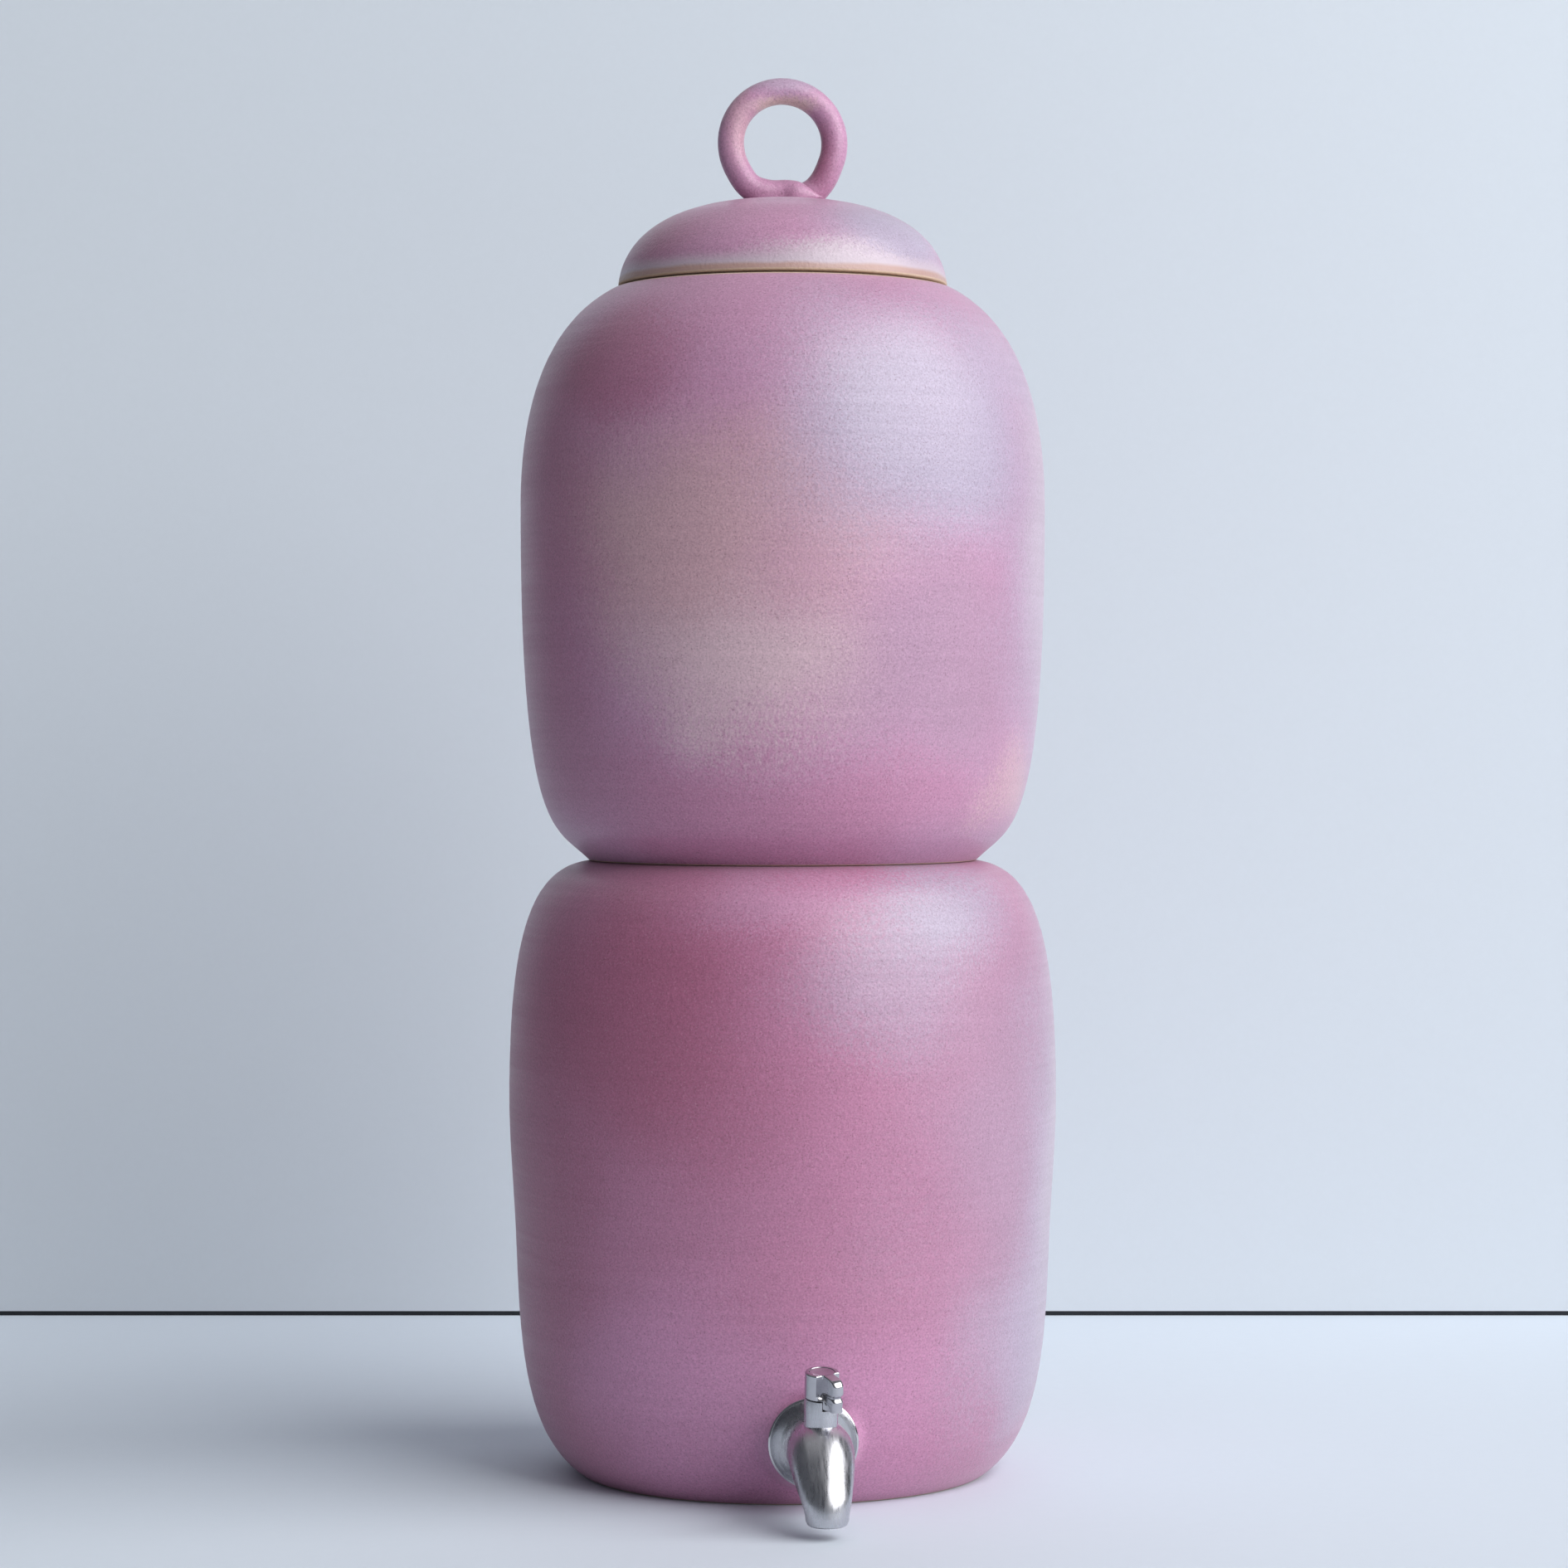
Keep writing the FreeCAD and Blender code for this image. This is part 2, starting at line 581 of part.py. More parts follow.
def lid():
    """Domed lid with a raised edge and a locating ring that drops into the mouth."""
    body = new_body("lid")
    ring_outer = "(upper_mouth_radius - seat_clearance)"
    ring_inner = "(upper_mouth_radius - seat_clearance - lid_ring_width)"
    ring_foot = f"({UPPER_RIM} - lid_ring_depth)"
    seat_edge = "(lid_radius - lid_edge_width)"
    dome_foot = f"({UPPER_RIM} + lid_thickness / 2)"
    dome_top = f"({LID_CROWN} - lid_thickness)"
    revolve(body, "dome", [
        ("0", LID_CROWN),
        dome_curve(),
        (seat_edge, LID_EDGE),
        (seat_edge, UPPER_RIM),
        (ring_outer, UPPER_RIM),
        (ring_outer, ring_foot),
        (ring_inner, ring_foot),
        (ring_inner, dome_foot),
        (
            ring_inner, between(dome_foot, dome_top, DOME_SHARE),
            f"{ring_inner} * {DOME_SHARE}", dome_top,
            "0", dome_top,
        ),
    ])
    return keep(body)


def ring_handle():
    """Ring rolled from a clay coil, standing in the X-Z plane and bedded on the lid's crown."""
    torus = doc.addObject("Part::Torus", "ring_coil")
    torus.setExpression("Radius1", bound("ring_hole_radius + ring_coil_radius"))
    torus.setExpression("Radius2", bound("ring_coil_radius"))
    torus.Placement = FreeCAD.Placement(
        FreeCAD.Vector(), FreeCAD.Rotation(FreeCAD.Vector(1, 0, 0), 90)
    )
    torus.setExpression("Placement.Base.z", bound(RING_CENTRE))
    bed = new_body("crown_bed")
    revolve(bed, "bed", [("0", LID_CROWN), dome_curve(), ("0", LID_EDGE)])
    ring = doc.addObject("Part::Cut", "ring_handle")
    ring.Base = torus
    ring.Tool = bed
    return keep(ring, "ring_handle")


# ---------------------------------------------------------------- the filter candle

def filter_base():
    """Plastic cup that holds the candle, moulded in one with its threaded stem."""
    body = new_body("filter_base")
    stem_foot = (
        "-(floor_gasket_thickness + upper_floor + under_gasket_thickness"
        " + wing_hub_height + stem_tail)"
    )
    cup_inner = "(candle_radius + candle_fit)"
    revolve(body, "cup", [
        ("stem_bore_radius", stem_foot),
        ("stem_radius", stem_foot),
        ("stem_radius", "0"),
        ("base_radius", "0"),
        ("base_radius", "base_rim_height"),
        (cup_inner, "base_rim_height"),
        (cup_inner, "base_thickness"),
        ("stem_bore_radius", "base_thickness"),
    ])
    place(body, "0", "0", CANDLE_BASE)
    return keep(body)


def candle_shell():
    """Porous ceramic candle, open at the bottom and domed at the top."""
    body = new_body("candle_shell")
    inner = "(candle_radius - candle_wall)"
    top = "(base_thickness + candle_height)"
    spring = "(base_thickness + candle_height - candle_radius)"
    inner_top = "(base_thickness + candle_height - candle_wall)"
    revolve(body, "shell", [
        (inner, "base_thickness"),
        ("candle_radius", "base_thickness"),
        ("candle_radius", spring),
        (
            "candle_radius", between(spring, top, DOME_SHARE),
            f"candle_radius * {DOME_SHARE}", top,
            "0", top,
        ),
        ("0", inner_top),
        (
            f"{inner} * {DOME_SHARE}", inner_top,
            inner, between(spring, inner_top, DOME_SHARE),
            inner, spring,
        ),
    ])
    place(body, "0", "0", CANDLE_BASE)
    return keep(body)


def carbon_core():
    """Block of pressed carbon inside the candle."""
    body = new_body("carbon_core")
    outer = "(candle_radius - candle_wall - core_fit)"
    top = "(base_thickness + core_height)"
    revolve(body, "core", ring_outline("core_bore_radius", outer, "base_thickness", top))
    place(body, "0", "0", CANDLE_BASE)
    return keep(body)


def gaskets():
    """Soft rings above and below the upper pot's floor."""
    hole = "(stem_radius + gasket_clearance)"
    for label, low, high in (
        ("floor_gasket", UPPER_FLOOR_TOP, f"({UPPER_FLOOR_TOP} + floor_gasket_thickness)"),
        ("under_gasket", f"({UPPER_BASE} - under_gasket_thickness)", UPPER_BASE),
    ):
        body = new_body(label)
        revolve(body, "gasket", ring_outline(hole, "gasket_radius", low, high))
        keep(body)


def wing_nut():
    """Plastic wing nut that clamps the candle to the floor."""
    body = new_body("wing_nut")
    hole = "(stem_radius + thread_fit)"
    top = f"({UPPER_BASE} - under_gasket_thickness)"
    foot = f"({UPPER_BASE} - under_gasket_thickness - wing_hub_height)"
    wing_foot = f"({UPPER_BASE} - under_gasket_thickness - wing_height)"
    wing_root = "(stem_radius + (wing_hub_radius - stem_radius) / 2)"
    revolve(body, "hub", ring_outline(hole, "wing_hub_radius", foot, top))
    sketch = new_sketch(body, "wing_outline")
    draw(sketch, [
        (wing_root, foot),
        ("wing_span_radius", wing_foot),
        ("wing_span_radius", f"{top} - wing_thickness"),
        (wing_root, top),
    ])
    wing = extrude(body, "wing", "PartDesign::Pad", sketch, "wing_thickness", midplane=True)
    pattern = body.newObject("PartDesign::PolarPattern", "wings")
    pattern.Originals = [wing]
    pattern.Axis = (sketch, ["V_Axis"])
    pattern.Angle = 360
    pattern.Occurrences = 2
    body.Tip = pattern
    doc.recompute()
    return keep(body)


# ---------------------------------------------------------------- the tap's fixed pieces

def shank_ring(label, inner, outer, near, far):
    """Ring on the shank between two distances behind the seat."""
    body = new_body(label)
    revolve(body, "ring", ring_outline(inner, outer, near, far), "XY_Plane")
    return on_tap_seat(body)


def washers():
    """Two soft washers and a steel one on the tap's shank."""
    hole = "(shank_radius + washer_clearance)"
    soft_end = "(land_thickness + inner_washer_thickness)"
    shank_ring("outer_washer", hole, "washer_radius", "-outer_washer_thickness", "0")
    shank_ring("inner_washer", hole, "washer_radius", "land_thickness", soft_end)
    shank_ring("steel_washer", hole, "washer_radius", soft_end, NUT_SEAT)


def tap_flange():
    """Round flange whose edge curls forward a little, like a shallow dish."""
    body = new_body("tap_flange")
    curl = "(flange_radius - 2 * flange_thickness)"
    back = "(-outer_washer_thickness)"
    face = f"(-{FLANGE_FACE})"
    revolve(body, "dish", [
        ("shank_radius + washer_clearance", back),
        (curl, back),
        (
            "flange_radius - flange_thickness", back,
            "flange_radius", f"{back} - flange_dish / 2",
            "flange_radius", f"{face} - flange_dish / 2",
        ),
        ("flange_radius - flange_thickness / 2", f"{face} - flange_dish"),
        (
            "flange_radius - flange_thickness", face,
            curl, face,
            f"{curl} - flange_thickness", face,
        ),
        ("shank_radius + washer_clearance", face),
    ], "XY_Plane")
    return on_tap_seat(body)


def lock_nut():
    """Six-sided nut that pulls the tap against the wall."""
    body = new_body("lock_nut")
    end = f"({NUT_SEAT} + nut_thickness)"
    corner = "(nut_flats / 2 / cos(30))"
    sketch = new_sketch(body, "hexagon", "XZ_Plane")
    draw(sketch, [
        (f"{corner} * cos({60 * i})", f"{corner} * sin({60 * i})") for i in range(6)
    ])
    sketch.setExpression("AttachmentOffset.Base.z", bound(f"-{end}"))
    extrude(body, "blank", "PartDesign::Pad", sketch, "nut_thickness")
    hole = round_sketch(
        body, "hole", "XZ_Plane", "shank_radius + thread_fit", f"-{NUT_SEAT}"
    )
    extrude(body, "thread_bore", "PartDesign::Pocket", hole, "nut_thickness")
    return on_tap_seat(body)


def section(name, forward, drop, radius, tip):
    """Circle of a swept body: forward of the seat, below the axis, tipped down by tip."""
    circle = doc.addObject("Part::Circle", name)
    circle.setExpression("Radius", bound(radius))
    place(circle, "0", f"-({forward})", f"-({drop})", f"90 + ({tip})")
    return circle


def swept(name, stations):
    """Loft a solid through round sections."""
    loft = doc.addObject("Part::Loft", name)
    loft.Sections = [section(f"{name}_{i}", *station) for i, station in enumerate(stations)]
    loft.Solid = True
    loft.Ruled = False
    return loft


def rod(name, radius, length, foot="0", sector=None, turned=None):
    """Cylinder about Z from the height foot, or a sector of one."""
    cylinder = doc.addObject("Part::Cylinder", name)
    cylinder.setExpression("Radius", bound(radius))
    cylinder.setExpression("Height", bound(length))
    cylinder.setExpression("Placement.Base.z", bound(foot))
    if sector:
        cylinder.setExpression("Angle", bound(sector))
        cylinder.Placement.Rotation = FreeCAD.Rotation(FreeCAD.Vector(0, 0, 1), value(turned))
        cylinder.setExpression("Placement.Rotation.Angle", bound(turned))
    return cylinder


def joined(name, *items):
    """Fuse solids into one."""
    fused = doc.addObject("Part::MultiFuse", name)
    fused.Shapes = list(items)
    return fused


def taken_from(name, base, tool):
    """Cut one solid from another."""
    cut = doc.addObject("Part::Cut", name)
    cut.Base = base
    cut.Tool = tool
    return cut


def shank_rod(name, radius, near, far):
    """Cylinder along the shank between two distances behind the seat."""
    cylinder = doc.addObject("Part::Cylinder", name)
    cylinder.setExpression("Radius", bound(radius))
    cylinder.setExpression("Height", bound(f"({far}) - ({near})"))
    place(cylinder, "0", far, "0", "90")
    return cylinder


def tap_body():
    """Steel body: threaded shank, bent spout and the leaning neck that holds the valve."""
    shank_end = f"({NUT_SEAT} + nut_thickness + shank_tail)"
    throat_tip = f"spout_angle * {THROAT_TIP_SHARE}"
    elbow = swept("elbow", [
        (FLANGE_FACE, "0", "elbow_radius", "0"),
        (f"{FLANGE_FACE} + elbow_straight", "0", "elbow_radius", "0"),
        ("bend_reach", f"throat_drop * {BEND_DROP_SHARE}", "bend_radius",
         f"spout_angle * {BEND_TIP_SHARE}"),
        ("throat_reach", "throat_drop", "throat_radius", throat_tip),
        ("spout_reach", "spout_drop", "spout_radius", "spout_angle"),
    ])
    shank = shank_rod("shank", "shank_radius", f"-{FLANGE_FACE}", shank_end)
    notch_turn = "tab_start - stop_play - 90"
    notch = rod(
        "stop_notch", "neck_radius + wall", "neck_height", "neck_height - tab_depth - handle_gap",
        "tab_angle + handle_travel + 2 * stop_play", notch_turn,
    )
    neck = taken_from("neck", rod("neck_rod", "neck_radius", "neck_height"), notch)
    place(neck, "0", "-neck_forward", "0", "neck_lean")
    bore = rod("valve_bore", "valve_radius", "neck_height + 2 * valve_depth", "-valve_depth")
    groove = rod(
        "clip_groove", "valve_radius + clip_grip + running_fit", "clip_thickness + 2 * rest_fit",
        f"{CLIP_BASE} - rest_fit",
    )
    cavity = joined("valve_cavity", bore, groove)
    place(cavity, "0", "-neck_forward", "0", "neck_lean")
    supply = shank_rod("supply", "supply_radius", "-neck_forward", f"{shank_end} + shank_tail")
    outlet = swept("outlet", [
        ("neck_forward", "0", "port_radius", f"spout_angle * {INLET_TIP_SHARE}"),
        ("bend_reach + 2 * port_radius", f"throat_drop * {CHANNEL_DROP_SHARE}", "port_radius",
         f"spout_angle * {CHANNEL_TIP_SHARE}"),
        ("throat_reach", "throat_drop", "throat_radius - 2 * spout_wall - port_radius / 2",
         throat_tip),
        ("spout_reach", "spout_drop", "spout_radius - spout_wall", "spout_angle"),
        ("spout_reach + spout_wall * cos(spout_angle)", "spout_drop + spout_wall * sin(spout_angle)",
         "spout_radius - spout_wall", "spout_angle"),
    ])
    body = taken_from(
        "tap_body", joined("tap_solid", elbow, shank, neck), joined("water_way", cavity, supply, outlet)
    )
    body.Label = "tap_body"
    return on_tap_seat(body)


# ---------------------------------------------------------------- the valve

def seal_sleeve():
    """Soft lining of the valve bore with a window towards the pot and one to the spout."""
    tube = new_body("sleeve_tube")
    outer = "(valve_radius - running_fit)"
    inner = "(valve_radius - running_fit - sleeve_thickness)"
    revolve(tube, "tube", ring_outline(inner, outer, SLEEVE_FOOT, "sleeve_top"))
    window = doc.addObject("Part::Cylinder", "sleeve_window")
    window.setExpression("Radius", bound("port_radius"))
    window.setExpression("Height", bound("2 * neck_radius"))
    place(window, "0", "neck_radius", "0", "90")
    sleeve = taken_from("seal_sleeve", tube, window)
    sleeve.Label = "seal_sleeve"
    return in_neck(sleeve)


def valve_spindle():
    """Turning plug with a cross port, two ring grooves and a square for the handle."""
    body = new_body("valve_spindle")
    thick = "(valve_radius - running_fit)"
    plug_top = "(sleeve_top + rest_fit)"
    groove_half = "groove_width / 2"
    outline = [
        ("0", f"{SLEEVE_FOOT} + rest_fit"),
        (PLUG_RADIUS, f"{SLEEVE_FOOT} + rest_fit"),
        (PLUG_RADIUS, plug_top),
        (thick, plug_top),
    ]
    for height in ("oring_low", "oring_high"):
        outline += [
            (thick, f"{height} - {groove_half}"),
            (GROOVE_RADIUS, f"{height} - {groove_half}"),
            (GROOVE_RADIUS, f"{height} + {groove_half}"),
            (thick, f"{height} + {groove_half}"),
        ]
    outline += [
        (thick, "spindle_shoulder"),
        ("stem_neck_radius", "spindle_shoulder"),
        ("stem_neck_radius", "square_base"),
        ("0", "square_base"),
    ]
    revolve(body, "spindle", outline)
    square = polygon_sketch(body, "square", 4, "square_width / sqrt(2)", "square_base")
    extrude(body, "drive_square", "PartDesign::Pad", square, "square_top - square_base")
    port = round_sketch(body, "port", "YZ_Plane", "port_radius", "-neck_radius")
    extrude(body, "cross_port", "PartDesign::Pocket", port, "2 * neck_radius", reversed_way=True)
    thread = round_sketch(body, "thread", "XY_Plane", "screw_radius + thread_fit", "square_top")
    extrude(body, "thread_hole", "PartDesign::Pocket", thread, "screw_length + screw_radius")
    return in_neck(body)


def o_rings():
    """Two rubber rings that seal the spindle in its bore."""
    for label, height in (("lower_o_ring", "oring_low"), ("upper_o_ring", "oring_high")):
        body = new_body(label)
        middle = "(valve_radius - oring_clearance - oring_wire)"
        sketch = round_sketch(body, "wire", "XZ_Plane", "oring_wire", "0", middle, height)
        feature = body.newObject("PartDesign::Revolution", "ring")
        feature.Profile = sketch
        feature.ReferenceAxis = (sketch, ["V_Axis"])
        feature.Angle = 360
        doc.recompute()
        in_neck(body)


def thrust_washer():
    """Slippery washer between the spindle's shoulder and the clip."""
    body = new_body("thrust_washer")
    low = "(spindle_shoulder + rest_fit)"
    high = "(spindle_shoulder + rest_fit + thrust_thickness)"
    inner = "(stem_neck_radius + running_fit)"
    outer = "(valve_radius - running_fit)"
    revolve(body, "washer", ring_outline(inner, outer, low, high))
    return in_neck(body)


def retaining_clip():
    """Spring clip in the neck's groove that keeps the spindle down."""
    body = new_body("retaining_clip")
    outer = "(valve_radius + clip_grip)"
    inner = "(valve_radius + clip_grip - clip_width)"
    high = f"({CLIP_BASE} + clip_thickness)"
    revolve(body, "clip", ring_outline(inner, outer, CLIP_BASE, high))
    sketch = new_sketch(body, "gap_outline", "XY_Plane")
    draw(sketch, [
        ("-clip_gap / 2", "0"),
        ("clip_gap / 2", "0"),
        ("clip_gap / 2", "2 * neck_radius"),
        ("-clip_gap / 2", "2 * neck_radius"),
    ])
    sketch.setExpression("AttachmentOffset.Base.z", bound(high))
    extrude(body, "gap", "PartDesign::Pocket", sketch, "clip_thickness")
    return in_neck(body)


# ---------------------------------------------------------------- the handle

def tap_handle():
    """Round cap with a stop tab and a lever that points to one side of the spout."""
    body = new_body("tap_handle")
    screw_hole = "(screw_radius + screw_fit)"
    head_hole = "(screw_head_radius + screw_fit)"
    tab_inner = "(valve_radius + running_fit)"
    revolve(body, "cap", [
        (screw_hole, CAP_BOTTOM),
        ("handle_radius", CAP_BOTTOM),
        ("handle_radius", f"{CAP_TOP} - handle_bevel"),
        ("handle_radius - handle_bevel", CAP_TOP),
        ("recess_radius", CAP_TOP),
        ("recess_radius", RECESS_FLOOR),
        (head_hole, RECESS_FLOOR),
        (head_hole, HEAD_SEAT),
        (screw_hole, HEAD_SEAT),
    ])
    tip_top = f"({CAP_TOP} - lever_fall)"
    tip_foot = f"({CAP_TOP} - lever_fall - lever_tip_height)"
    tab_foot = f"({CAP_BOTTOM} - tab_depth)"
    foot_reach = "(lever_reach - lever_foot_inset)"
    lever = new_sketch(body, "lever_outline")
    lever_root = between("recess_radius", "handle_radius", LEVER_ROOT_SHARE)
    draw(lever, [
        (lever_root, f"{CAP_TOP} - handle_bevel"),
        (lever_root, CAP_BOTTOM),
        (tab_inner, CAP_BOTTOM),
        (tab_inner, tab_foot),
        (foot_reach, tab_foot),
        (foot_reach, f"{tip_foot} - 2 * lever_groove"),
        (f"{foot_reach} - lever_groove", f"{tip_foot} - lever_groove"),
        (foot_reach, tip_foot),
        (
            "lever_reach", between(tip_foot, tip_top, LEVER_NOSE_SHARE),
            "lever_reach", tip_top,
            "lever_reach - lever_thickness / 2", tip_top,
        ),
    ])
    swing_sketch(lever, "lever_azimuth - 90")
    extrude(body, "lever", "PartDesign::Pad", lever, "lever_thickness", midplane=True)
    revolve(body, "stop_tab", [
        (tab_inner, tab_foot),
        ("handle_radius", tab_foot),
        ("handle_radius", f"{CAP_BOTTOM} + handle_bevel"),
        (tab_inner, f"{CAP_BOTTOM} + handle_bevel"),
    ], angle="tab_angle", turned="tab_start - 90")
    socket = polygon_sketch(
        body, "socket", 4, "(square_width / 2 + socket_play) * sqrt(2)", CAP_BOTTOM
    )
    extrude(
        body, "square_socket", "PartDesign::Pocket", socket,
        f"square_top - {CAP_BOTTOM} + rest_fit", reversed_way=True,
    )
    return in_neck(body)


def handle_screw():
    """Small screw that holds the handle down on the spindle's square."""
    body = new_body("handle_screw")
    head_top = f"({HEAD_SEAT} + screw_head_height)"
    foot = f"({HEAD_SEAT} - screw_length)"
    revolve(body, "screw", [
        ("0", foot),
        ("screw_radius", foot),
        ("screw_radius", HEAD_SEAT),
        ("screw_head_radius", HEAD_SEAT),
        ("screw_head_radius", head_top),
        ("0", head_top),
    ])
    socket = polygon_sketch(body, "key", 6, "screw_socket_radius", head_top)
    extrude(body, "key_socket", "PartDesign::Pocket", socket, "screw_head_height / 2")
    return in_neck(body)


def handle_cover():
    """Dished steel disc pressed into the cap over the screw."""
    body = new_body("handle_cover")
    outer = "(recess_radius - cover_fit)"
    low = f"({RECESS_FLOOR} + rest_fit)"
    high = f"({RECESS_FLOOR} + rest_fit + cover_thickness)"
    revolve(body, "cover", [
        ("0", low),
        (outer, low),
        (outer, high),
        (
            f"{outer} * {DOME_SHARE}", f"{high} - cover_dish",
            f"{outer} * {1 - DOME_SHARE}", f"{high} - cover_dish",
            "0", f"{high} - cover_dish",
        ),
    ])
    return in_neck(body)


# ---------------------------------------------------------------- build, check and write

lower_pot()
upper_pot()
lid()
ring_handle()
filter_base()
candle_shell()
carbon_core()
gaskets()
wing_nut()
washers()
tap_flange()
lock_nut()
tap_body()
seal_sleeve()
valve_spindle()
o_rings()
thrust_washer()
retaining_clip()
tap_handle()
handle_screw()
handle_cover()
doc.recompute()

for item in doc.Objects:
    if {"Invalid", "Error"} & set(item.State):
        raise RuntimeError(f"{item.Name} failed: {item.State}")
for item in PARTS:
    if item.Shape.isNull() or not item.Shape.isValid() or not item.Shape.Solids:
        raise RuntimeError(f"{item.Label} has no valid shape")

os.makedirs("parts", exist_ok=True)
for item in PARTS:
    item.Shape.exportStep(os.path.join("parts", item.Label + ".step"))
    print(f"{item.Label}: {len(item.Shape.Solids)} solid, volume {item.Shape.Volume:.1f} mm3")
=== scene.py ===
"""Looks of a two-tier clay water filter: sprayed glaze, bare clay and steel over its solids."""

import math

import bpy
import numpy as np
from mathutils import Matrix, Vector


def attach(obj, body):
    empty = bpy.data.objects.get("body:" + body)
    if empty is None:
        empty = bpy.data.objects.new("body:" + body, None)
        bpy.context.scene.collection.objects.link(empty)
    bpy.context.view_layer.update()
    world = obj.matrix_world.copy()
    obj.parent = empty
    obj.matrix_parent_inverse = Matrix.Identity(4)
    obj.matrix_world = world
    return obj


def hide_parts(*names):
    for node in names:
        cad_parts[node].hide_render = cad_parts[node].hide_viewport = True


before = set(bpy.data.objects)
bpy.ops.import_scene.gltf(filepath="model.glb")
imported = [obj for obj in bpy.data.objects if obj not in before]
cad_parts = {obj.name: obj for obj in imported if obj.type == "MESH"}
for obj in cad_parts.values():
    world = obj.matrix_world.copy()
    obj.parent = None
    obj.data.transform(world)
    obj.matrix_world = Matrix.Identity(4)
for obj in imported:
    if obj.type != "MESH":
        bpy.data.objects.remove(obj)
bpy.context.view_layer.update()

bl_info = {
    "name": "Clay water filter",
    "version": (1, 0, 0),
    "blender": (4, 5, 0),
    "location": "3D View > Sidebar > Clay filter",
    "description": "Builds the jars, lid, ring handle and tap of a two-tier clay water filter",
    "category": "Object",
}

MM = 0.001

# Spacing of the rows of a turned surface: worked walls carry fine relief, the rest doesn't.
FINE = 1.0 * MM
COARSE = 3.0 * MM
# Faces that meet at more than this many degrees keep a sharp edge between them.
CREASE = 34
# Columns of the jars, of the lid, and of other round pieces and holes.
JAR_COLUMNS = 192
LID_COLUMNS = 160
ROUND_COLUMNS = 64
# Width of the camera's sensor in millimetres.
SENSOR_WIDTH = 36


# ---------------------------------------------------------------- properties

def linear(text):
    """Turn an sRGB hex colour into linear red, green and blue."""
    parts = [int(text[i:i + 2], 16) / 255 for i in (1, 3, 5)]
    return tuple(p / 12.92 if p <= 0.04045 else ((p + 0.055) / 1.055) ** 2.4 for p in parts)


def length(name, description, millimetres):
    """A length, given here in millimetres and kept in metres."""
    return bpy.props.FloatProperty(
        name=name, description=description, default=millimetres * MM, unit="LENGTH", precision=5,
    )


def turn(name, description, degrees):
    """An angle, given here in degrees and kept in radians."""
    return bpy.props.FloatProperty(
        name=name, description=description, default=math.radians(degrees), unit="ROTATION",
    )


def colour(name, description, text):
    """A colour, given as an sRGB hex value."""
    return bpy.props.FloatVectorProperty(
        name=name, description=description, default=linear(text), subtype="COLOR", size=3,
        min=0, max=1,
    )


def watts(name, description, amount):
    """The power of a lamp."""
    return bpy.props.FloatProperty(
        name=name, description=description, default=amount, min=0, unit="POWER",
    )


class JarSizes(bpy.types.PropertyGroup):
    """Sizes of the two jars."""

    wall: length("Wall", "Thickness of the thrown walls", 8)
    rim_rounding: length("Rim rounding", "Rounding of each mouth's edges", 2.5)
    lower_height: length("Lower height", "Table to the flat rim under the upper jar", 241.3)
    lower_foot: length("Lower foot", "Radius of the flat foot", 79.85)
    lower_flare_reach: length("Flare reach", "How far out the foot's curve aims", 24.9)
    lower_flare_rise: length("Flare rise", "How far up the foot's curve aims", 15.8)
    lower_heel_inset: length("Heel inset", "Belly's radius less the heel's", 2.35)
    lower_heel_height: length("Heel height", "Where the foot's curve meets the wall", 98.5)
    lower_belly: length("Lower belly", "Widest radius", 108.1)
    lower_belly_height: length("Lower belly height", "Height of the widest place", 148)
    lower_crown: length("Lower crown", "Outer radius of the flat rim", 72.3)
    lower_mouth: length("Lower mouth", "Inside radius of the mouth", 63)
    lower_floor: length("Lower floor", "Thickness of the bottom", 9)
    lower_floor_radius: length("Lower floor radius", "Edge of the flat floor inside", 66)
    upper_height: length("Upper height", "Underside of the jar to its rim", 225.2)
    upper_foot: length("Upper foot", "Radius of the flat foot", 76.5)
    upper_belly: length("Upper belly", "Widest radius", 103.5)
    upper_belly_rise: length("Upper belly rise", "Underside to the widest place", 138.7)
    upper_crown: length("Upper crown", "Outer radius of the flat rim", 66)
    upper_mouth: length("Upper mouth", "Inside radius of the mouth", 57)
    upper_floor: length("Upper floor", "Thickness of the bottom", 9)
    upper_floor_radius: length("Upper floor radius", "Edge of the flat floor inside", 68)
    seat_play: length("Seat play", "Radial play of a locating ring in the mouth below it", 1)
    ring_width: length("Locating ring width", "Radial width of the ring under the upper jar", 7)
    ring_depth: length("Locating ring depth", "How deep that ring reaches", 6)
    stem_hole: length("Stem hole", "Radius of the hole in the upper floor", 6.5)
    throwing_depth: length("Throwing lines", "Depth of the finger marks left by throwing", 0.13)


class LidSizes(bpy.types.PropertyGroup):
    """Sizes of the lid and its ring handle."""

    radius: length("Lid radius", "Edge of the lid", 65)
    height: length("Lid height", "Jar rim to the lid's crown", 35.1)
    edge_lift: length("Edge lift", "Gap between the lid's edge and the jar's rim", 0.9)
    edge_width: length("Edge width", "Width of that raised edge", 3.4)
    edge_rounding: length("Edge rounding", "Rounding of the lid's lower edge", 1.1)
    thickness: length("Lid thickness", "Thickness of the dome", 6.5)
    ring_width: length("Locating ring width", "Radial width of the ring under the lid", 5)
    ring_depth: length("Locating ring depth", "How deep that ring reaches", 9)
    hole: length("Finger hole", "Radius of the handle's hole", 15.35)
    coil: length("Coil", "Radius of the rolled coil", 5.2)
    rise: length("Rise", "Crown of the lid to the centre of the ring", 22.4)
    clay_band: length("Clay band", "Height of the bare clay above the lid's edge", 3.1)


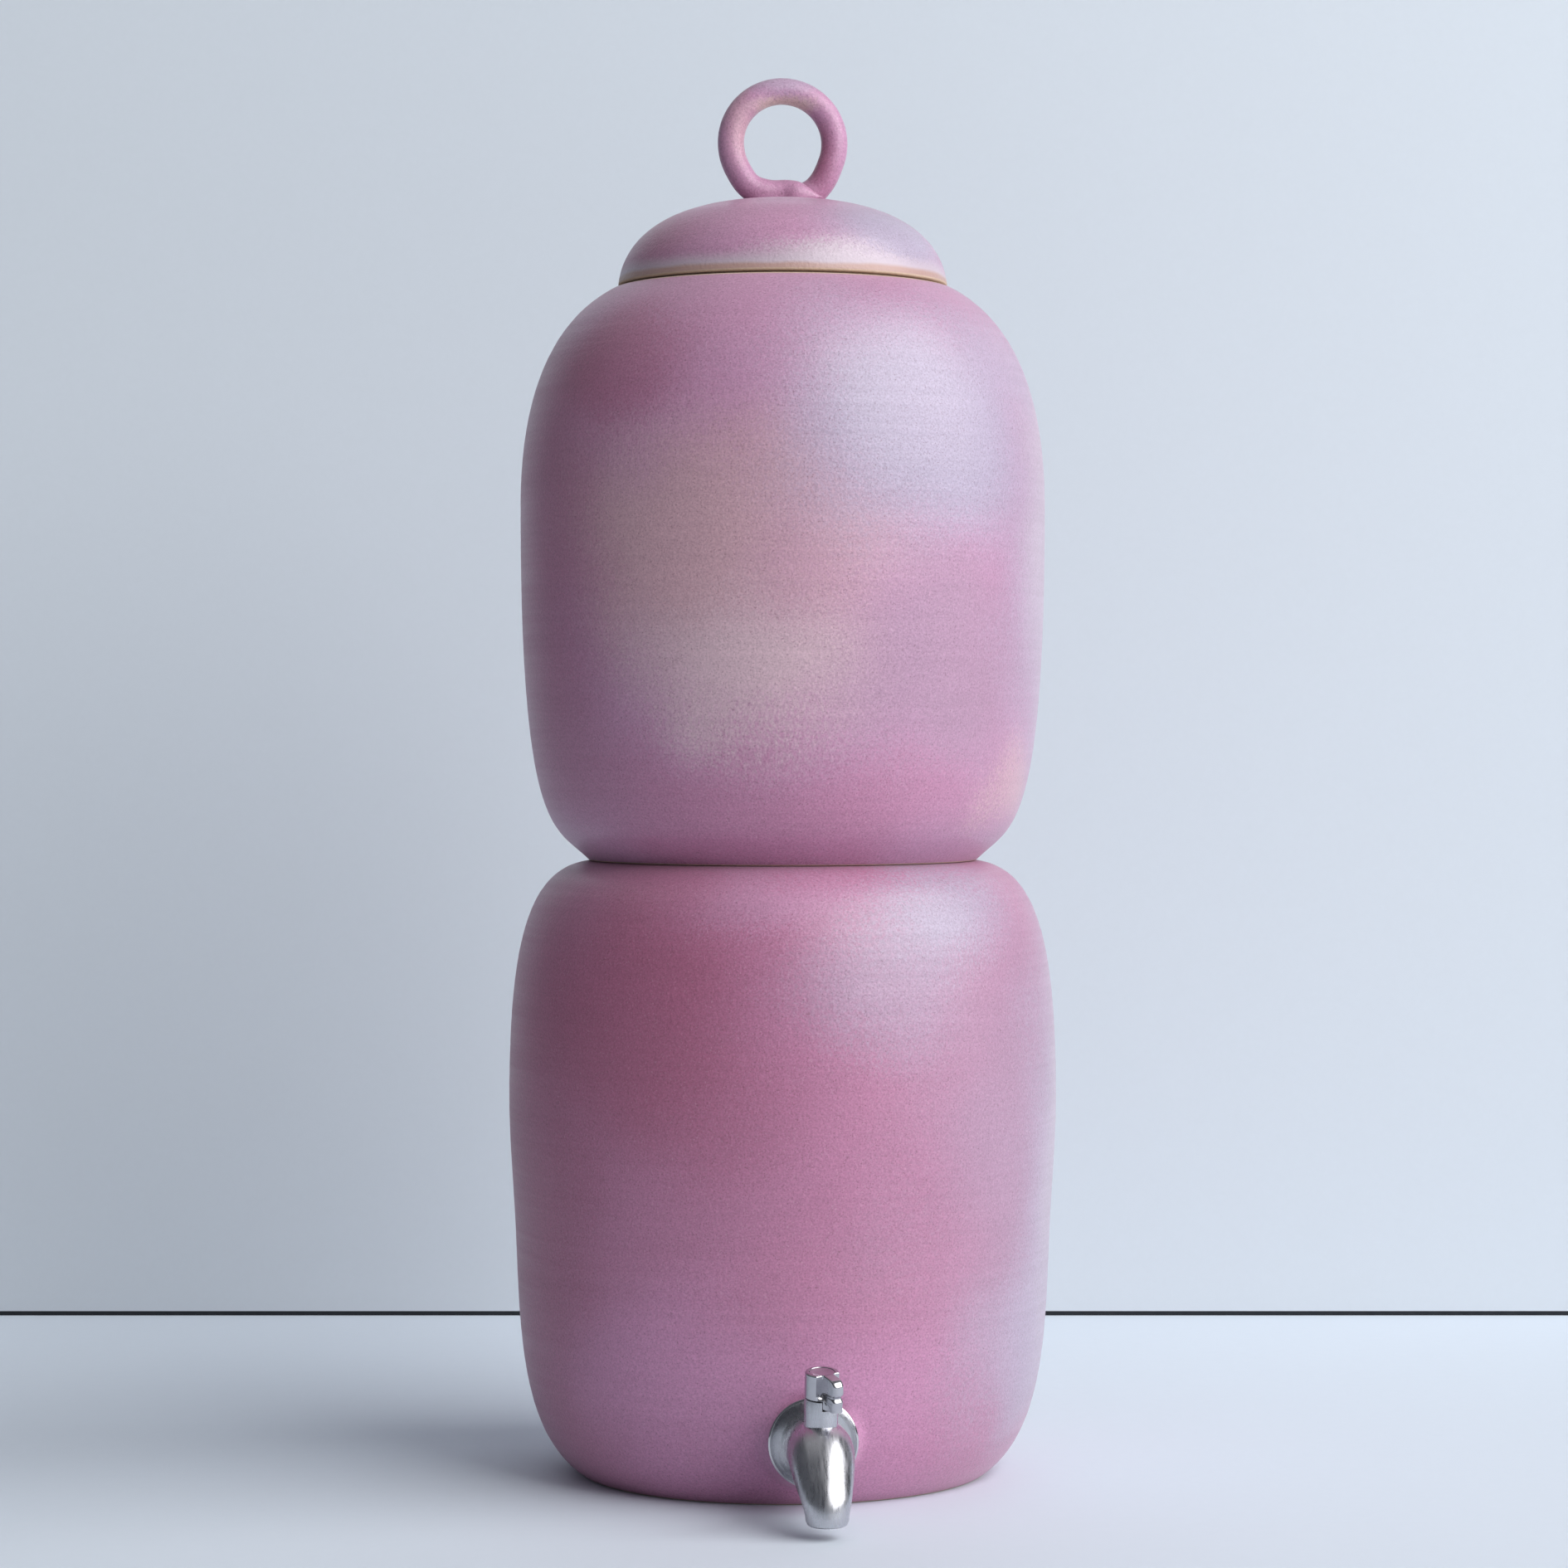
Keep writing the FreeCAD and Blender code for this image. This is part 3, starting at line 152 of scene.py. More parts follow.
class TapSizes(bpy.types.PropertyGroup):
    """Sizes of the tap."""

    height: length("Tap height", "Table to the tap's axis", 27.5)
    seat: length("Seat", "Jar's axis to the tap's flat seat", 100.504583)
    land: length("Land", "Radius of the flat seats", 15.2)
    land_blend: length("Land blend", "Where the flat seat has died out into the wall", 21)
    land_thickness: length("Land thickness", "Clay between the two flat seats", 12)
    hole: length("Tap hole", "Radius of the hole in the jar", 8.5)
    shank: length("Shank", "Outside of the threaded shank", 8)
    shank_end: length("Shank end", "Seat to the shank's end inside the jar", 26.2)
    thread_pitch: length("Thread pitch", "From one thread to the next", 1.5)
    thread_depth: length("Thread depth", "Depth of the thread", 0.45)
    supply: length("Supply", "Radius of the water way in the shank", 4.5)
    washer: length("Washer", "Thickness of the soft washer outside", 2)
    flange: length("Flange", "Outside of the round flange", 17)
    flange_thickness: length("Flange thickness", "Thickness of the flange", 1.4)
    flange_dish: length("Flange dish", "How far its edge curls forward", 0.9)
    neck_forward: length("Neck place", "Seat to the foot of the valve neck", 25)
    neck_radius: length("Neck", "Outside of the valve neck", 6.2)
    neck_height: length("Neck height", "Tap's axis to the top of the neck", 21.6)
    valve: length("Valve bore", "Bore of the neck", 4.9)
    handle_radius: length("Cap", "Outside of the handle's cap", 6.3)
    handle_gap: length("Cap gap", "Gap between neck and cap", 0.35)
    handle_height: length("Cap height", "Height of the cap", 9.6)
    handle_bevel: length("Cap bevel", "Rounding of the cap's top edge", 0.6)
    tab_depth: length("Tab depth", "How far the stop tab reaches down", 3)
    lever_half: length("Lever half", "Half the thickness of the lever", 2.2)
    recess: length("Recess", "Radius of the recess for the cover", 4.7)
    recess_depth: length("Recess depth", "Depth of that recess", 1.4)
    cover_thickness: length("Cover", "Thickness of the cover", 1.1)
    cover_play: length("Cover play", "Play around and under the cover", 0.1)
    cover_dish: length("Cover dish", "Hollow in the cover's face", 0.5)
    neck_lean: turn("Neck lean", "Forward lean of the valve neck", 10.5)
    lever_turn: turn("Lever", "Where the lever points, from the front towards +X", 26)
    tab_start: turn("Tab start", "Tab's first edge, from the front towards +X", -1.5)
    tab_span: turn("Tab span", "Angle that the tab spans", 80)
    travel: turn("Travel", "Turn from closed to open", 90)
    stop_play: turn("Stop play", "Angle left free at each stop", 2)


class GlazeColours(bpy.types.PropertyGroup):
    """Colours of the sprayed glazes and of the bare clay; some of them also serve as painted light and
    shade.
    """

    rose: colour("Rose", "Main glaze of the lower jar", "#b67999")
    # Deep rose is also laid on the jars' and the lid's left flanks as painted shade.
    deep_rose_and_painted_shade: colour("Deep rose", "Where the glaze lies thickest", "#a7617e")
    pink: colour("Pink", "Where the rose runs light and cool", "#c48aaf")
    mauve: colour("Mauve", "Main glaze of the upper jar and lid", "#bb8aa9")
    # Lilac is also laid as a painted highlight on the jars' shoulders, and partly as a painted sheen down
    # their right sides.
    lilac_and_painted_highlight: colour("Lilac", "Where a cool grey overspray lies on top", "#aca5b9")
    dusty_rose: colour("Dusty rose", "Where that overspray is thin", "#ac88a1")
    sand: colour("Sand", "Where the spray has thinned over the pale clay", "#c39ca5")
    cloud: colour("Cloud", "Where the spray is thinnest", "#ccafb7")
    cream: colour("Cream", "Where the spray hardly reached the pale clay", "#d6bbb0")
    # Milk is also laid down the jars' right edges as painted light.
    milk_and_painted_light: colour("Milk", "Thin milky glaze above the lid's bare edge", "#c3b4be")
    clay: colour("Clay", "Bare fired stoneware at the lid's edge", "#b8978f")
    inside: colour("Inside", "Buff clay inside the jars", "#c9b09c")


class StudioSettings(bpy.types.PropertyGroup):
    """Camera, floor, wall and even light."""

    camera_distance: length("Camera distance", "Jar's axis to the camera, level", 1658)
    camera_height: length("Camera height", "Table to the camera", 296.1)
    camera_turn: turn("Camera turn", "Place of the camera, from the front towards +X", -6.3)
    camera_dip: turn("Camera dip", "How far the camera looks down", 0.862)
    camera_swing: turn("Camera swing", "How far the camera looks past the axis", 0.018)
    lens: bpy.props.FloatProperty(
        name="Lens", description="Focal length on a 36 mm sensor", default=96.2, unit="CAMERA",
    )
    wall_distance: length("Wall distance", "Camera to the wall", 2083)
    wall_half_width: length("Wall half width", "Middle of the wall to its edge", 560)
    wall_height: length("Wall height", "Height of the wall", 900)
    wall_gap: length("Wall gap", "Dark gap under the wall", 2.2)
    floor_radius: length("Floor radius", "Middle of the round floor to its edge", 6000)
    lamp_aim: length("Lamp aim", "Table to the place that the lamps look at", 270)
    world_level: bpy.props.FloatProperty(
        name="World level", description="Strength of the even light all round", default=0.15, min=0,
    )
    floor_colour: colour("Floor colour", "Pale painted table", "#dae3ed")
    wall_colour: colour("Wall colour", "Pale painted board", "#d8dfe6")
    gap_colour: colour("Gap colour", "Shadow under the wall", "#20242a")
    world_colour: colour("World colour", "Even light all round", "#c9cfdb")


def lamp_group(name, bearing, rise, distance, width, height, power):
    """A property group for one lamp, with these defaults."""
    return type(name, (bpy.types.PropertyGroup,), {"__annotations__": {
        "bearing": turn("Bearing", "Place of the lamp, from the front towards +X", bearing),
        "rise": turn("Rise", "Height of the lamp, as an angle from its aim", rise),
        "distance": length("Distance", "Aim to the lamp", distance),
        "width": length("Width", "Width of the lamp", width),
        "height": length("Height", "Height of the lamp", height),
        "power": watts("Power", "Power of the lamp", power),
    }})


# The lamps: bearing and rise in degrees, distance, width and height in millimetres, and watts.
LAMPS = {
    "window": lamp_group("WindowLamp", 56, 34, 4000, 4900, 4000, 240),
    "fill": lamp_group("FillLamp", 20, 25, 2600, 1600, 1600, 8),
    "back": lamp_group("BackLamp", -115, 68, 2200, 2400, 2400, 5),
}


# ---------------------------------------------------------------- outlines and surfaces

def smoothstep(place, low, high):
    """0 before low, 1 after high and 3 t^2 - 2 t^3 between them."""
    t = np.clip((place - low) / (high - low), 0, 1)
    return t * t * (3 - 2 * t)


def between(start, end, share):
    """The place a share of the way from start to end."""
    return start + (end - start) * share


def bell(place, middle, width):
    """A rounded peak: exp(-t^2), where t is the way from the middle over the width."""
    return np.exp(-((place - middle) / width) ** 2)


def points_at(*parts):
    """Points whose coordinates are the parts, each spread over the grid of them all."""
    return np.stack(np.broadcast_arrays(*parts), axis=-1)


def unit(vectors):
    """Vectors of length 1 that point the same way; one shorter than a micrometre stays short."""
    return vectors / np.maximum(np.linalg.norm(vectors, axis=-1), 1e-6)[..., None]


def distances_along(run):
    """How far along a run of points each of them lies."""
    return np.append(0, np.cumsum(np.linalg.norm(np.diff(run, axis=0), axis=1)))


def natural_curve(knots, values, places):
    """Values at places of the natural cubic curve through values at the knots.

    The second derivatives at the knots solve the usual three-diagonal system, and each
    span is then the cubic with those second derivatives at its ends.
    """
    knots = np.asarray(knots, float)
    values = np.asarray(values, float)
    spans = np.diff(knots)
    count = len(knots)
    system = np.eye(count)
    known = np.zeros(count)
    inner = np.arange(1, count - 1)
    system[inner, inner - 1] = spans[:-1]
    system[inner, inner] = 2 * (spans[:-1] + spans[1:])
    system[inner, inner + 1] = spans[1:]
    slopes = np.diff(values) / spans
    known[inner] = 6 * np.diff(slopes)
    bends = np.linalg.solve(system, known)
    span = np.clip(np.searchsorted(knots, places, side="right") - 1, 0, count - 2)
    near = (knots[span + 1] - places) / spans[span]
    far = 1 - near
    bent = (near ** 3 - near) * bends[span] + (far ** 3 - far) * bends[span + 1]
    return near * values[span] + far * values[span + 1] + bent * spans[span] ** 2 / 6


def line_to(end, rounding=0.0, step=COARSE):
    """A straight leg of an outline, with the rounding of the corner at its end."""
    return (), end, rounding, step


def curve_to(first_aim, second_aim, end, rounding=0.0, step=COARSE):
    """A cubic leg of an outline: it leaves towards the first aim and comes in from the second."""
    return (first_aim, second_aim), end, rounding, step


def cut_back(run, head, tail):
    """Shorten a run of points by a length at its head and one at its tail."""
    along = distances_along(run)
    low = head
    high = along[-1] - tail
    places = np.concatenate([[low], along[(along > low) & (along < high)], [high]])
    return points_at(*(np.interp(places, along, part) for part in run.T))


def outline(start, legs):
    """Points of an outline, and which of them lie on finely divided legs.

    A straight leg is divided evenly, and a cubic one is the sum of its four points weighted
    by (1-t)^3, 3(1-t)^2 t, 3(1-t) t^2 and t^3.  A rounded corner is cut back by its rounding
    on both sides and bridged by a parabola that aims at the corner.
    """
    runs = []
    corners = []
    here = np.array(start, float)
    for aims, end, rounding, step in legs:
        poles = np.array([here, *aims, end], float)
        count = max(1, round(np.linalg.norm(np.diff(poles, axis=0), axis=1).sum() / step))
        t = np.linspace(0, 1, count + 1)[:, None]
        if aims:
            weights = (1 - t) ** 3, 3 * (1 - t) ** 2 * t, 3 * (1 - t) * t ** 2, t ** 3
            run = sum(weight * pole for weight, pole in zip(weights, poles))
        else:
            run = poles[0] + (poles[1] - poles[0]) * t
        runs.append(run)
        corners.append((rounding, step == FINE))
        here = poles[-1]
    points = []
    marks = []
    head = 0.0
    for run, (rounding, fine) in zip(runs, corners):
        corner = run[-1]
        kept = cut_back(run, head, rounding)
        if points and head:
            t = np.linspace(0, 1, 6)[1:-1, None]
            bridge = (1 - t) ** 2 * leaving + 2 * (1 - t) * t * turning + t ** 2 * kept[0]
            points.append(bridge)
            marks.append(np.zeros(len(bridge), bool))
        elif points:
            kept = kept[1:]
        points.append(kept)
        marks.append(np.full(len(kept), fine))
        leaving = kept[-1]
        turning = corner
        head = rounding
    return np.vstack(points), np.concatenate(marks)


def turned(points, turns):
    """Turn an outline of (radius, height) about Z: x = r cos(turn), y = r sin(turn), z = h."""
    radius, height = points.T[..., None]
    return points_at(radius * np.cos(turns), radius * np.sin(turns), height)


def even_turns(count):
    """Angles that divide a full turn evenly."""
    return np.linspace(0, 2 * math.pi, count, endpoint=False)


def about_y(grid):
    """Lay a grid that was turned about Z along Y: height becomes the place along Y."""
    return points_at(grid[..., 0], grid[..., 2], -grid[..., 1])


def skin(grid, looped=False):
    """Points and faces of a grid whose columns wrap round.

    The rows wrap too if looped; otherwise each end closes in a point at its middle.  Faces
    are turned outwards by the sign of the volume, the sum of a . (b x c) over triangles.
    """
    rows, columns = grid.shape[:2]
    points = grid.reshape(-1, 3)
    index = np.arange(rows * columns).reshape(rows, columns)
    low = index if looped else index[:-1]
    high = np.roll(index, -1, axis=0) if looped else index[1:]
    corners = [low, np.roll(low, -1, axis=1), np.roll(high, -1, axis=1), high]
    quads = np.stack(corners, axis=-1).reshape(-1, 4)
    fans = np.empty((0, 3), int)
    if not looped:
        first = np.full(columns, len(points))
        points = np.vstack([points, grid[0].mean(axis=0), grid[-1].mean(axis=0)])
        fans = np.vstack([
            np.stack([np.roll(index[0], -1), index[0], first], axis=-1),
            np.stack([index[-1], np.roll(index[-1], -1), first + 1], axis=-1),
        ])
    threes = np.vstack([quads[:, [0, 1, 2]], quads[:, [0, 2, 3]], fans])
    a, b, c = (points[threes[:, i]] for i in range(3))
    if np.einsum("ij,ij->", a, np.cross(b, c)) < 0:
        quads = quads[:, ::-1]
        fans = fans[:, ::-1]
    return points, quads.tolist() + fans.tolist()


def make_mesh(name, skins, crease=CREASE, bare=None):
    """One mesh of one or more skins, smooth except where faces meet at more than crease.

    bare says for each point how much of it is unglazed, for the material to read.
    """
    points = []
    faces = []
    for skin_points, skin_faces in skins:
        shift = sum(len(p) for p in points)
        points.append(skin_points)
        faces += [[corner + shift for corner in face] for face in skin_faces]
    mesh = bpy.data.meshes.new(name)
    mesh.from_pydata(np.vstack(points).tolist(), [], faces)
    if bare is not None:
        layer = mesh.attributes.new("bare", "FLOAT", "POINT")
        layer.data.foreach_set("value", np.asarray(bare, np.float32))
    finish_mesh(mesh, crease)
    return mesh


def finish_mesh(mesh, crease=CREASE):
    """Shade a mesh smooth, with its creases sharp."""
    mesh.polygons.foreach_set("use_smooth", np.ones(len(mesh.polygons), bool))
    mesh.set_sharp_from_angle(angle=math.radians(crease))
    mesh.update()


def add_object(name, mesh, material):
    """Put a mesh into the scene with one material."""
    item = bpy.data.objects.new(name, mesh)
    bpy.context.scene.collection.objects.link(item)
    mesh.materials.clear()
    mesh.materials.append(material)
    return item


def bore_along_y(item, radius, height, start, end):
    """Drill a round hole along Y through an object and keep the drilled mesh."""
    rim = np.array([[radius, start], [radius, end]])
    wall = about_y(turned(rim, even_turns(ROUND_COLUMNS))) + np.array([0, 0, height])
    cutter = bpy.data.objects.new("drill", make_mesh("drill", [skin(wall)]))
    bpy.context.scene.collection.objects.link(cutter)
    cut = item.modifiers.new("hole", "BOOLEAN")
    cut.operation = "DIFFERENCE"
    cut.solver = "EXACT"
    cut.object = cutter
    solved = item.evaluated_get(bpy.context.evaluated_depsgraph_get())
    drilled = bpy.data.meshes.new_from_object(solved)
    item.modifiers.clear()
    item.data = drilled
    finish_mesh(drilled)
    bpy.data.objects.remove(cutter)


def add_piece(name, skins, material, body, node, crease=CREASE, bare=None, drill=None):
    """Add a piece of one or more skins that rides on a body in place of its plain solid.

    drill, where given, is the radius, height, start and end of a hole along Y.
    """
    piece = add_object(name, make_mesh(name, skins, crease, bare), material)
    if drill:
        bore_along_y(piece, *drill)
    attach(piece, body)
    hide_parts(node)


# Throwing lines: wave length in millimetres, share of the full depth, climb round the jar in
# whole waves, and a phase that keeps the waves from starting together.
THROWING_WAVES = (
    (3.4, 0.16, 1, 0.4),
    (5.7, 0.24, -1, 2.1),
    (10.5, 0.30, 1, 4.0),
    (23.0, 0.18, 0, 5.2),
)
# The heights in which the lines swell and fade once, divided by two pi.
SWELL = 31 * MM
SLOW_SWELL = 17 * MM


def throwing_relief(turns, heights, depth):
    """Depth of the finger marks: level waves that climb slowly round the wall.

    Each wave is its share times (1 + sin(height / wave length + climb)) / 2, and the sum
    swells and fades with a slower wave of turn and height.
    """
    high = heights[:, None]
    total = np.zeros((len(heights), len(turns)))
    for wave, share, climb, phase in THROWING_WAVES:
        along = 2 * math.pi * high / (wave * MM) + climb * turns + phase
        total += share * (1 + np.sin(along + 0.8 * np.sin(turns + phase))) / 2
    swell = np.sin(2 * turns + high / SWELL) * np.sin(high / SLOW_SWELL + 1)
    return depth * total * (0.6 + 0.4 * swell)


def close_set_turns(count, gather):
    """Angles of a full turn that stand closer together at the front (-Y).

    turn = even turn - gather * sin(even turn), started at the front.
    """
    even = even_turns(count)
    return even - gather * np.sin(even) - math.pi / 2


def worked_wall(points, marks, turns, depth, seats=None):
    """Grid of a turned jar whose finely divided rows carry the throwing lines, cut inwards.

    The relief fades out near the worked rows' ends, and on the flat seats.
    """
    grid = turned(points, turns)
    slope = unit(np.gradient(points, axis=0))
    along = distances_along(points)
    worked = along[marks]
    near = 8 * MM
    fade = smoothstep(along, worked[0], worked[0] + near)
    fade *= 1 - smoothstep(along, worked[-1] - near, worked[-1])
    depths = throwing_relief(turns, points[:, 1], depth) * (fade * marks)[:, None]
    if seats is not None:
        depths *= 1 - seats
    grid[..., 0] -= depths * slope[:, 1, None] * np.cos(turns)
    grid[..., 1] -= depths * slope[:, 1, None] * np.sin(turns)
    grid[..., 2] += depths * slope[:, 0, None]
    return grid


def lower_jar_outline(jar):
    """Half section of the lower jar: foot, flared heel, belly, shoulder, rim and inside."""
    rim = jar.lower_height
    throat = rim - jar.wall
    belly = jar.lower_belly
    middle = jar.lower_belly_height
    low = jar.lower_heel_height
    heel = belly - jar.lower_heel_inset
    inner_belly = belly - jar.wall
    inner_heel = heel - jar.wall
    # The wall leans out by this slope at the heel, and its curves aim this far up and down.
    slope = 0.048
    up = (middle - low) * 0.33
    down = low * 0.392
    # How far the shoulder's curve aims up the wall and out along the rim, as shares of its
    # height and width, and how far the one inside aims both ways.
    shoulder_up = 0.75
    shoulder_out = 0.71
    inside = 0.72
    hub = 4 * MM
    return outline((hub, 0), [
        line_to((jar.lower_foot, 0), 1.2 * MM),
        curve_to(
            (jar.lower_foot + jar.lower_flare_reach, jar.lower_flare_rise),
            (heel - slope * down, low - down),
            (heel, low), step=FINE,
        ),
        curve_to((heel + slope * up, low + up), (belly, middle - up), (belly, middle), step=FINE),
        curve_to(
            (belly, between(middle, rim, shoulder_up)),
            (between(jar.lower_crown, belly, shoulder_out), rim),
            (jar.lower_crown, rim), step=FINE,
        ),
        line_to((jar.lower_mouth, rim), jar.rim_rounding),
        line_to((jar.lower_mouth, throat), jar.rim_rounding),
        curve_to(
            (between(jar.lower_mouth, inner_belly, inside), throat),
            (inner_belly, between(middle, throat, inside)),
            (inner_belly, middle),
        ),
        curve_to(
            (inner_belly, middle - up), (inner_heel + slope * up, low + up), (inner_heel, low),
        ),
        curve_to(
            (inner_heel - slope * down, low - down),
            (jar.lower_floor_radius + jar.lower_flare_reach, jar.lower_floor),
            (jar.lower_floor_radius, jar.lower_floor),
        ),
        line_to((hub, jar.lower_floor)),
    ])


def upper_jar_outline(jar):
    """Half section of the upper jar, from the stem hole round the outside and back inside."""
    base = jar.lower_height
    rim = base + jar.upper_height
    belly = base + jar.upper_belly_rise
    floor_top = base + jar.upper_floor
    throat = rim - jar.wall
    inner_belly = jar.upper_belly - jar.wall
    ring_outer = jar.lower_mouth - jar.seat_play
    ring_inner = ring_outer - jar.ring_width
    ring_foot = base - jar.ring_depth
    # How far the curves aim, as shares of their widths and heights: out and up at the foot,
    # down and up from the belly, out and down at the rim, and out from the floor inside.
    foot_out, foot_up = 0.495, 0.098
    belly_down, belly_up = 0.947, 0.623
    rim_out, rim_down = 0.518, 0.108
    floor_out = 0.72
    return outline((jar.stem_hole, base), [
        line_to((ring_inner, base)),
        line_to((ring_inner, ring_foot), 1 * MM),
        line_to((ring_outer, ring_foot), 1 * MM),
        line_to((ring_outer, base)),
        line_to((jar.upper_foot, base), 0.8 * MM),
        curve_to(
            (between(jar.upper_foot, jar.upper_belly, foot_out), between(base, belly, foot_up)),
            (jar.upper_belly, between(belly, base, belly_down)),
            (jar.upper_belly, belly), step=FINE,
        ),
        curve_to(
            (jar.upper_belly, between(belly, rim, belly_up)),
            (between(jar.upper_crown, jar.upper_belly, rim_out), between(rim, belly, rim_down)),
            (jar.upper_crown, rim), 1.5 * MM, step=FINE,
        ),
        line_to((jar.upper_mouth, rim), jar.rim_rounding),
        line_to((jar.upper_mouth, throat), jar.rim_rounding),
        curve_to(
            (between(jar.upper_mouth, inner_belly, rim_out), between(throat, belly, rim_down)),
            (inner_belly, between(belly, throat, belly_up)),
            (inner_belly, belly),
        ),
        curve_to(
            (inner_belly, between(belly, floor_top, belly_down)),
            (between(jar.upper_floor_radius, inner_belly, floor_out), floor_top),
            (jar.upper_floor_radius, floor_top),
        ),
        line_to((jar.stem_hole, floor_top)),
    ])


def lid_outline(jar, lid):
    """Half section of the lid, from its crown over the dome to the locating ring and back."""
    rim = jar.lower_height + jar.upper_height
    crown = rim + lid.height
    edge = rim + lid.edge_lift
    seat_edge = lid.radius - lid.edge_width
    ring_outer = jar.upper_mouth - jar.seat_play
    ring_inner = ring_outer - lid.ring_width
    ring_foot = rim - lid.ring_depth
    dome_foot = rim + lid.thickness / 2
    dome_top = crown - lid.thickness
    # How far the dome's curve aims, as shares of its width and height: out level with the
    # crown, and out and up at the edge.  The one inside aims the same share both ways.
    crown_out = 0.83
    edge_out = 0.98
    edge_up = 0.38
    inside = 0.55
    hub = 2 * MM
    return outline((hub, crown), [
        curve_to(
            (lid.radius * crown_out, crown),
            (lid.radius * edge_out, between(edge, crown, edge_up)),
            (lid.radius, edge), lid.edge_rounding, FINE,
        ),
        line_to((seat_edge, edge)),
        line_to((seat_edge, rim)),
        line_to((ring_outer, rim)),
        line_to((ring_outer, ring_foot), 1 * MM),
        line_to((ring_inner, ring_foot), 1 * MM),
        line_to((ring_inner, dome_foot)),
        curve_to(
            (ring_inner, between(dome_foot, dome_top, inside)),
            (ring_inner * inside, dome_top),
            (hub, dome_top),
        ),
    ])


def bare_points(marks, columns, poles):
    """How bare each point is: 0 on the worked rows and 1 on the rest, poles included."""
    return np.concatenate([np.repeat(~marks, columns), np.ones(poles, bool)])


def flat_seats(points, turns, tap):
    """How much each point of the lower jar belongs to a flat seat, and the seats' places.

    1 within the land's radius of the tap's axis, dying out at the blend's, for points that
    lie within 10 to 16 mm of the seat's plane.
    """
    grid = turned(points, turns)
    crown = int(np.argmax(points[:, 1]))
    outside = (np.arange(len(points)) <= crown)[:, None]
    plane = np.where(outside, -tap.seat, tap.land_thickness - tap.seat)
    away = np.hypot(grid[..., 0], grid[..., 2] - tap.height)
    share = 1 - smoothstep(away, tap.land, tap.land_blend)
    share *= 1 - smoothstep(np.abs(grid[..., 1] - plane), 10 * MM, 16 * MM)
    return share, plane


# Places round the ring in degrees, from its right and over its top: where the coil starts, the
# bottom where its tail leaves the ring, and where the tail ends.
COIL_START = -64
COIL_BOTTOM = 270
COIL_END = 320


def ring_coil(lid, centre_height, dome):
    """Grid of the rolled coil: a circle carried round a ring, its tail lapped over its start.

    The path is the angle's circle of the ring's radius, a little wider at the start and low
    on the left and flatter at the bottom; past that it runs straight on along the tangent,
    comes forward and thins out.  Points under the lid's dome are lifted onto it, and the
    coil spreads there.
    """
    degrees = np.linspace(COIL_START, COIL_END, 200)
    past = np.maximum(degrees - COIL_BOTTOM, 0)
    tail = past / (COIL_END - COIL_BOTTOM)
    foot = smoothstep(-degrees, 20, 58)
    radius = lid.hole + lid.coil + 1.6 * MM * foot
    radius += 0.8 * MM * bell(degrees, 232, 14)
    radius -= 1.3 * MM * bell(degrees, COIL_BOTTOM, 18)
    angle = np.radians(np.minimum(degrees, COIL_BOTTOM))
    thick = lid.coil * (1 - smoothstep(tail, 0.28, 1.02))
    thick *= 1 - 0.06 * bell(degrees, 262, 12)
    path = points_at(
        radius * np.cos(angle) + radius * np.radians(past) * 0.92,
        1.7 * MM * foot - 3.4 * MM * smoothstep(tail, 0, 0.8),
        centre_height + radius * np.sin(angle) - 0.75 * MM * smoothstep(tail, 0.3, 1),
    )
    ahead = unit(np.gradient(path, axis=0))
    side = unit(np.cross(ahead, np.array([0, 1, 0])))
    front = np.cross(side, ahead)
    about = even_turns(40)
    # A coil rolled under the fingers keeps a faint flat on its inner front.
    roundness = 1 - 0.035 * bell(about, 2.4, 0.35)
    reach = thick[:, None] * roundness
    grid = path[:, None] + side[:, None] * (reach * np.cos(about))[..., None]
    grid += front[:, None] * (reach * np.sin(about))[..., None]
    bed = np.interp(np.hypot(grid[..., 0], grid[..., 1]), dome[:, 0], dome[:, 1])
    spread = 0.9 * MM * np.exp(-np.maximum(grid[..., 2] - bed, 0) / (1.1 * MM))
    spread *= (thick / lid.coil)[:, None]
    outward = grid - path[:, None]
    outward[..., 2] = 0
    grid += unit(outward) * spread[..., None]
    grid[..., 2] = np.maximum(grid[..., 2], bed - 0.3 * MM)
    return grid


def at_tap(grid, tap):
    """Carry points that are measured from the tap's seat, along its axis, to their place."""
    return grid + np.array([0, -tap.seat, tap.height])


def dished_flange(tap):
    """Grid of the flange: its half section, in radius and distance from the seat, turned about Y."""
    back = tap.washer
    face = tap.washer + tap.flange_thickness
    curl = tap.flange - 2 * tap.flange_thickness
    inner = tap.shank + 0.2 * MM
    fine = 0.4 * MM
    points = outline((inner, back), [
        line_to((curl, back)),
        curve_to(
            (tap.flange - tap.flange_thickness, back),
            (tap.flange, back + tap.flange_dish / 2),
            (tap.flange, face + tap.flange_dish / 2), 0.2 * MM, fine,
        ),
        line_to((tap.flange - tap.flange_thickness / 2, face + tap.flange_dish), 0.25 * MM, fine),
        curve_to(
            (tap.flange - tap.flange_thickness, face),
            (curl, face),
            (curl - tap.flange_thickness, face), step=fine,
        ),
        line_to((inner, face)),
    ])[0]
    return at_tap(about_y(turned(points * np.array([1, -1]), even_turns(128))), tap)


# The bend of the tap: forward of the seat, drop, body radius in millimetres and tip in degrees.
BEND = (
    (3.4, 0, 11.9, 0),
    (14.4, 0, 11.9, 0),
    (27, 0, 12.3, 27),
    (39, 9, 10.6, 56),
    (45.2, 15.2, 8.9, 78),
    (47.2, 22.6, 7.3, 104),
)
SPOUT_WALL = 3.2
SPOUT_BORE_DEPTH = 14
LIP_ROUNDING = 3.8


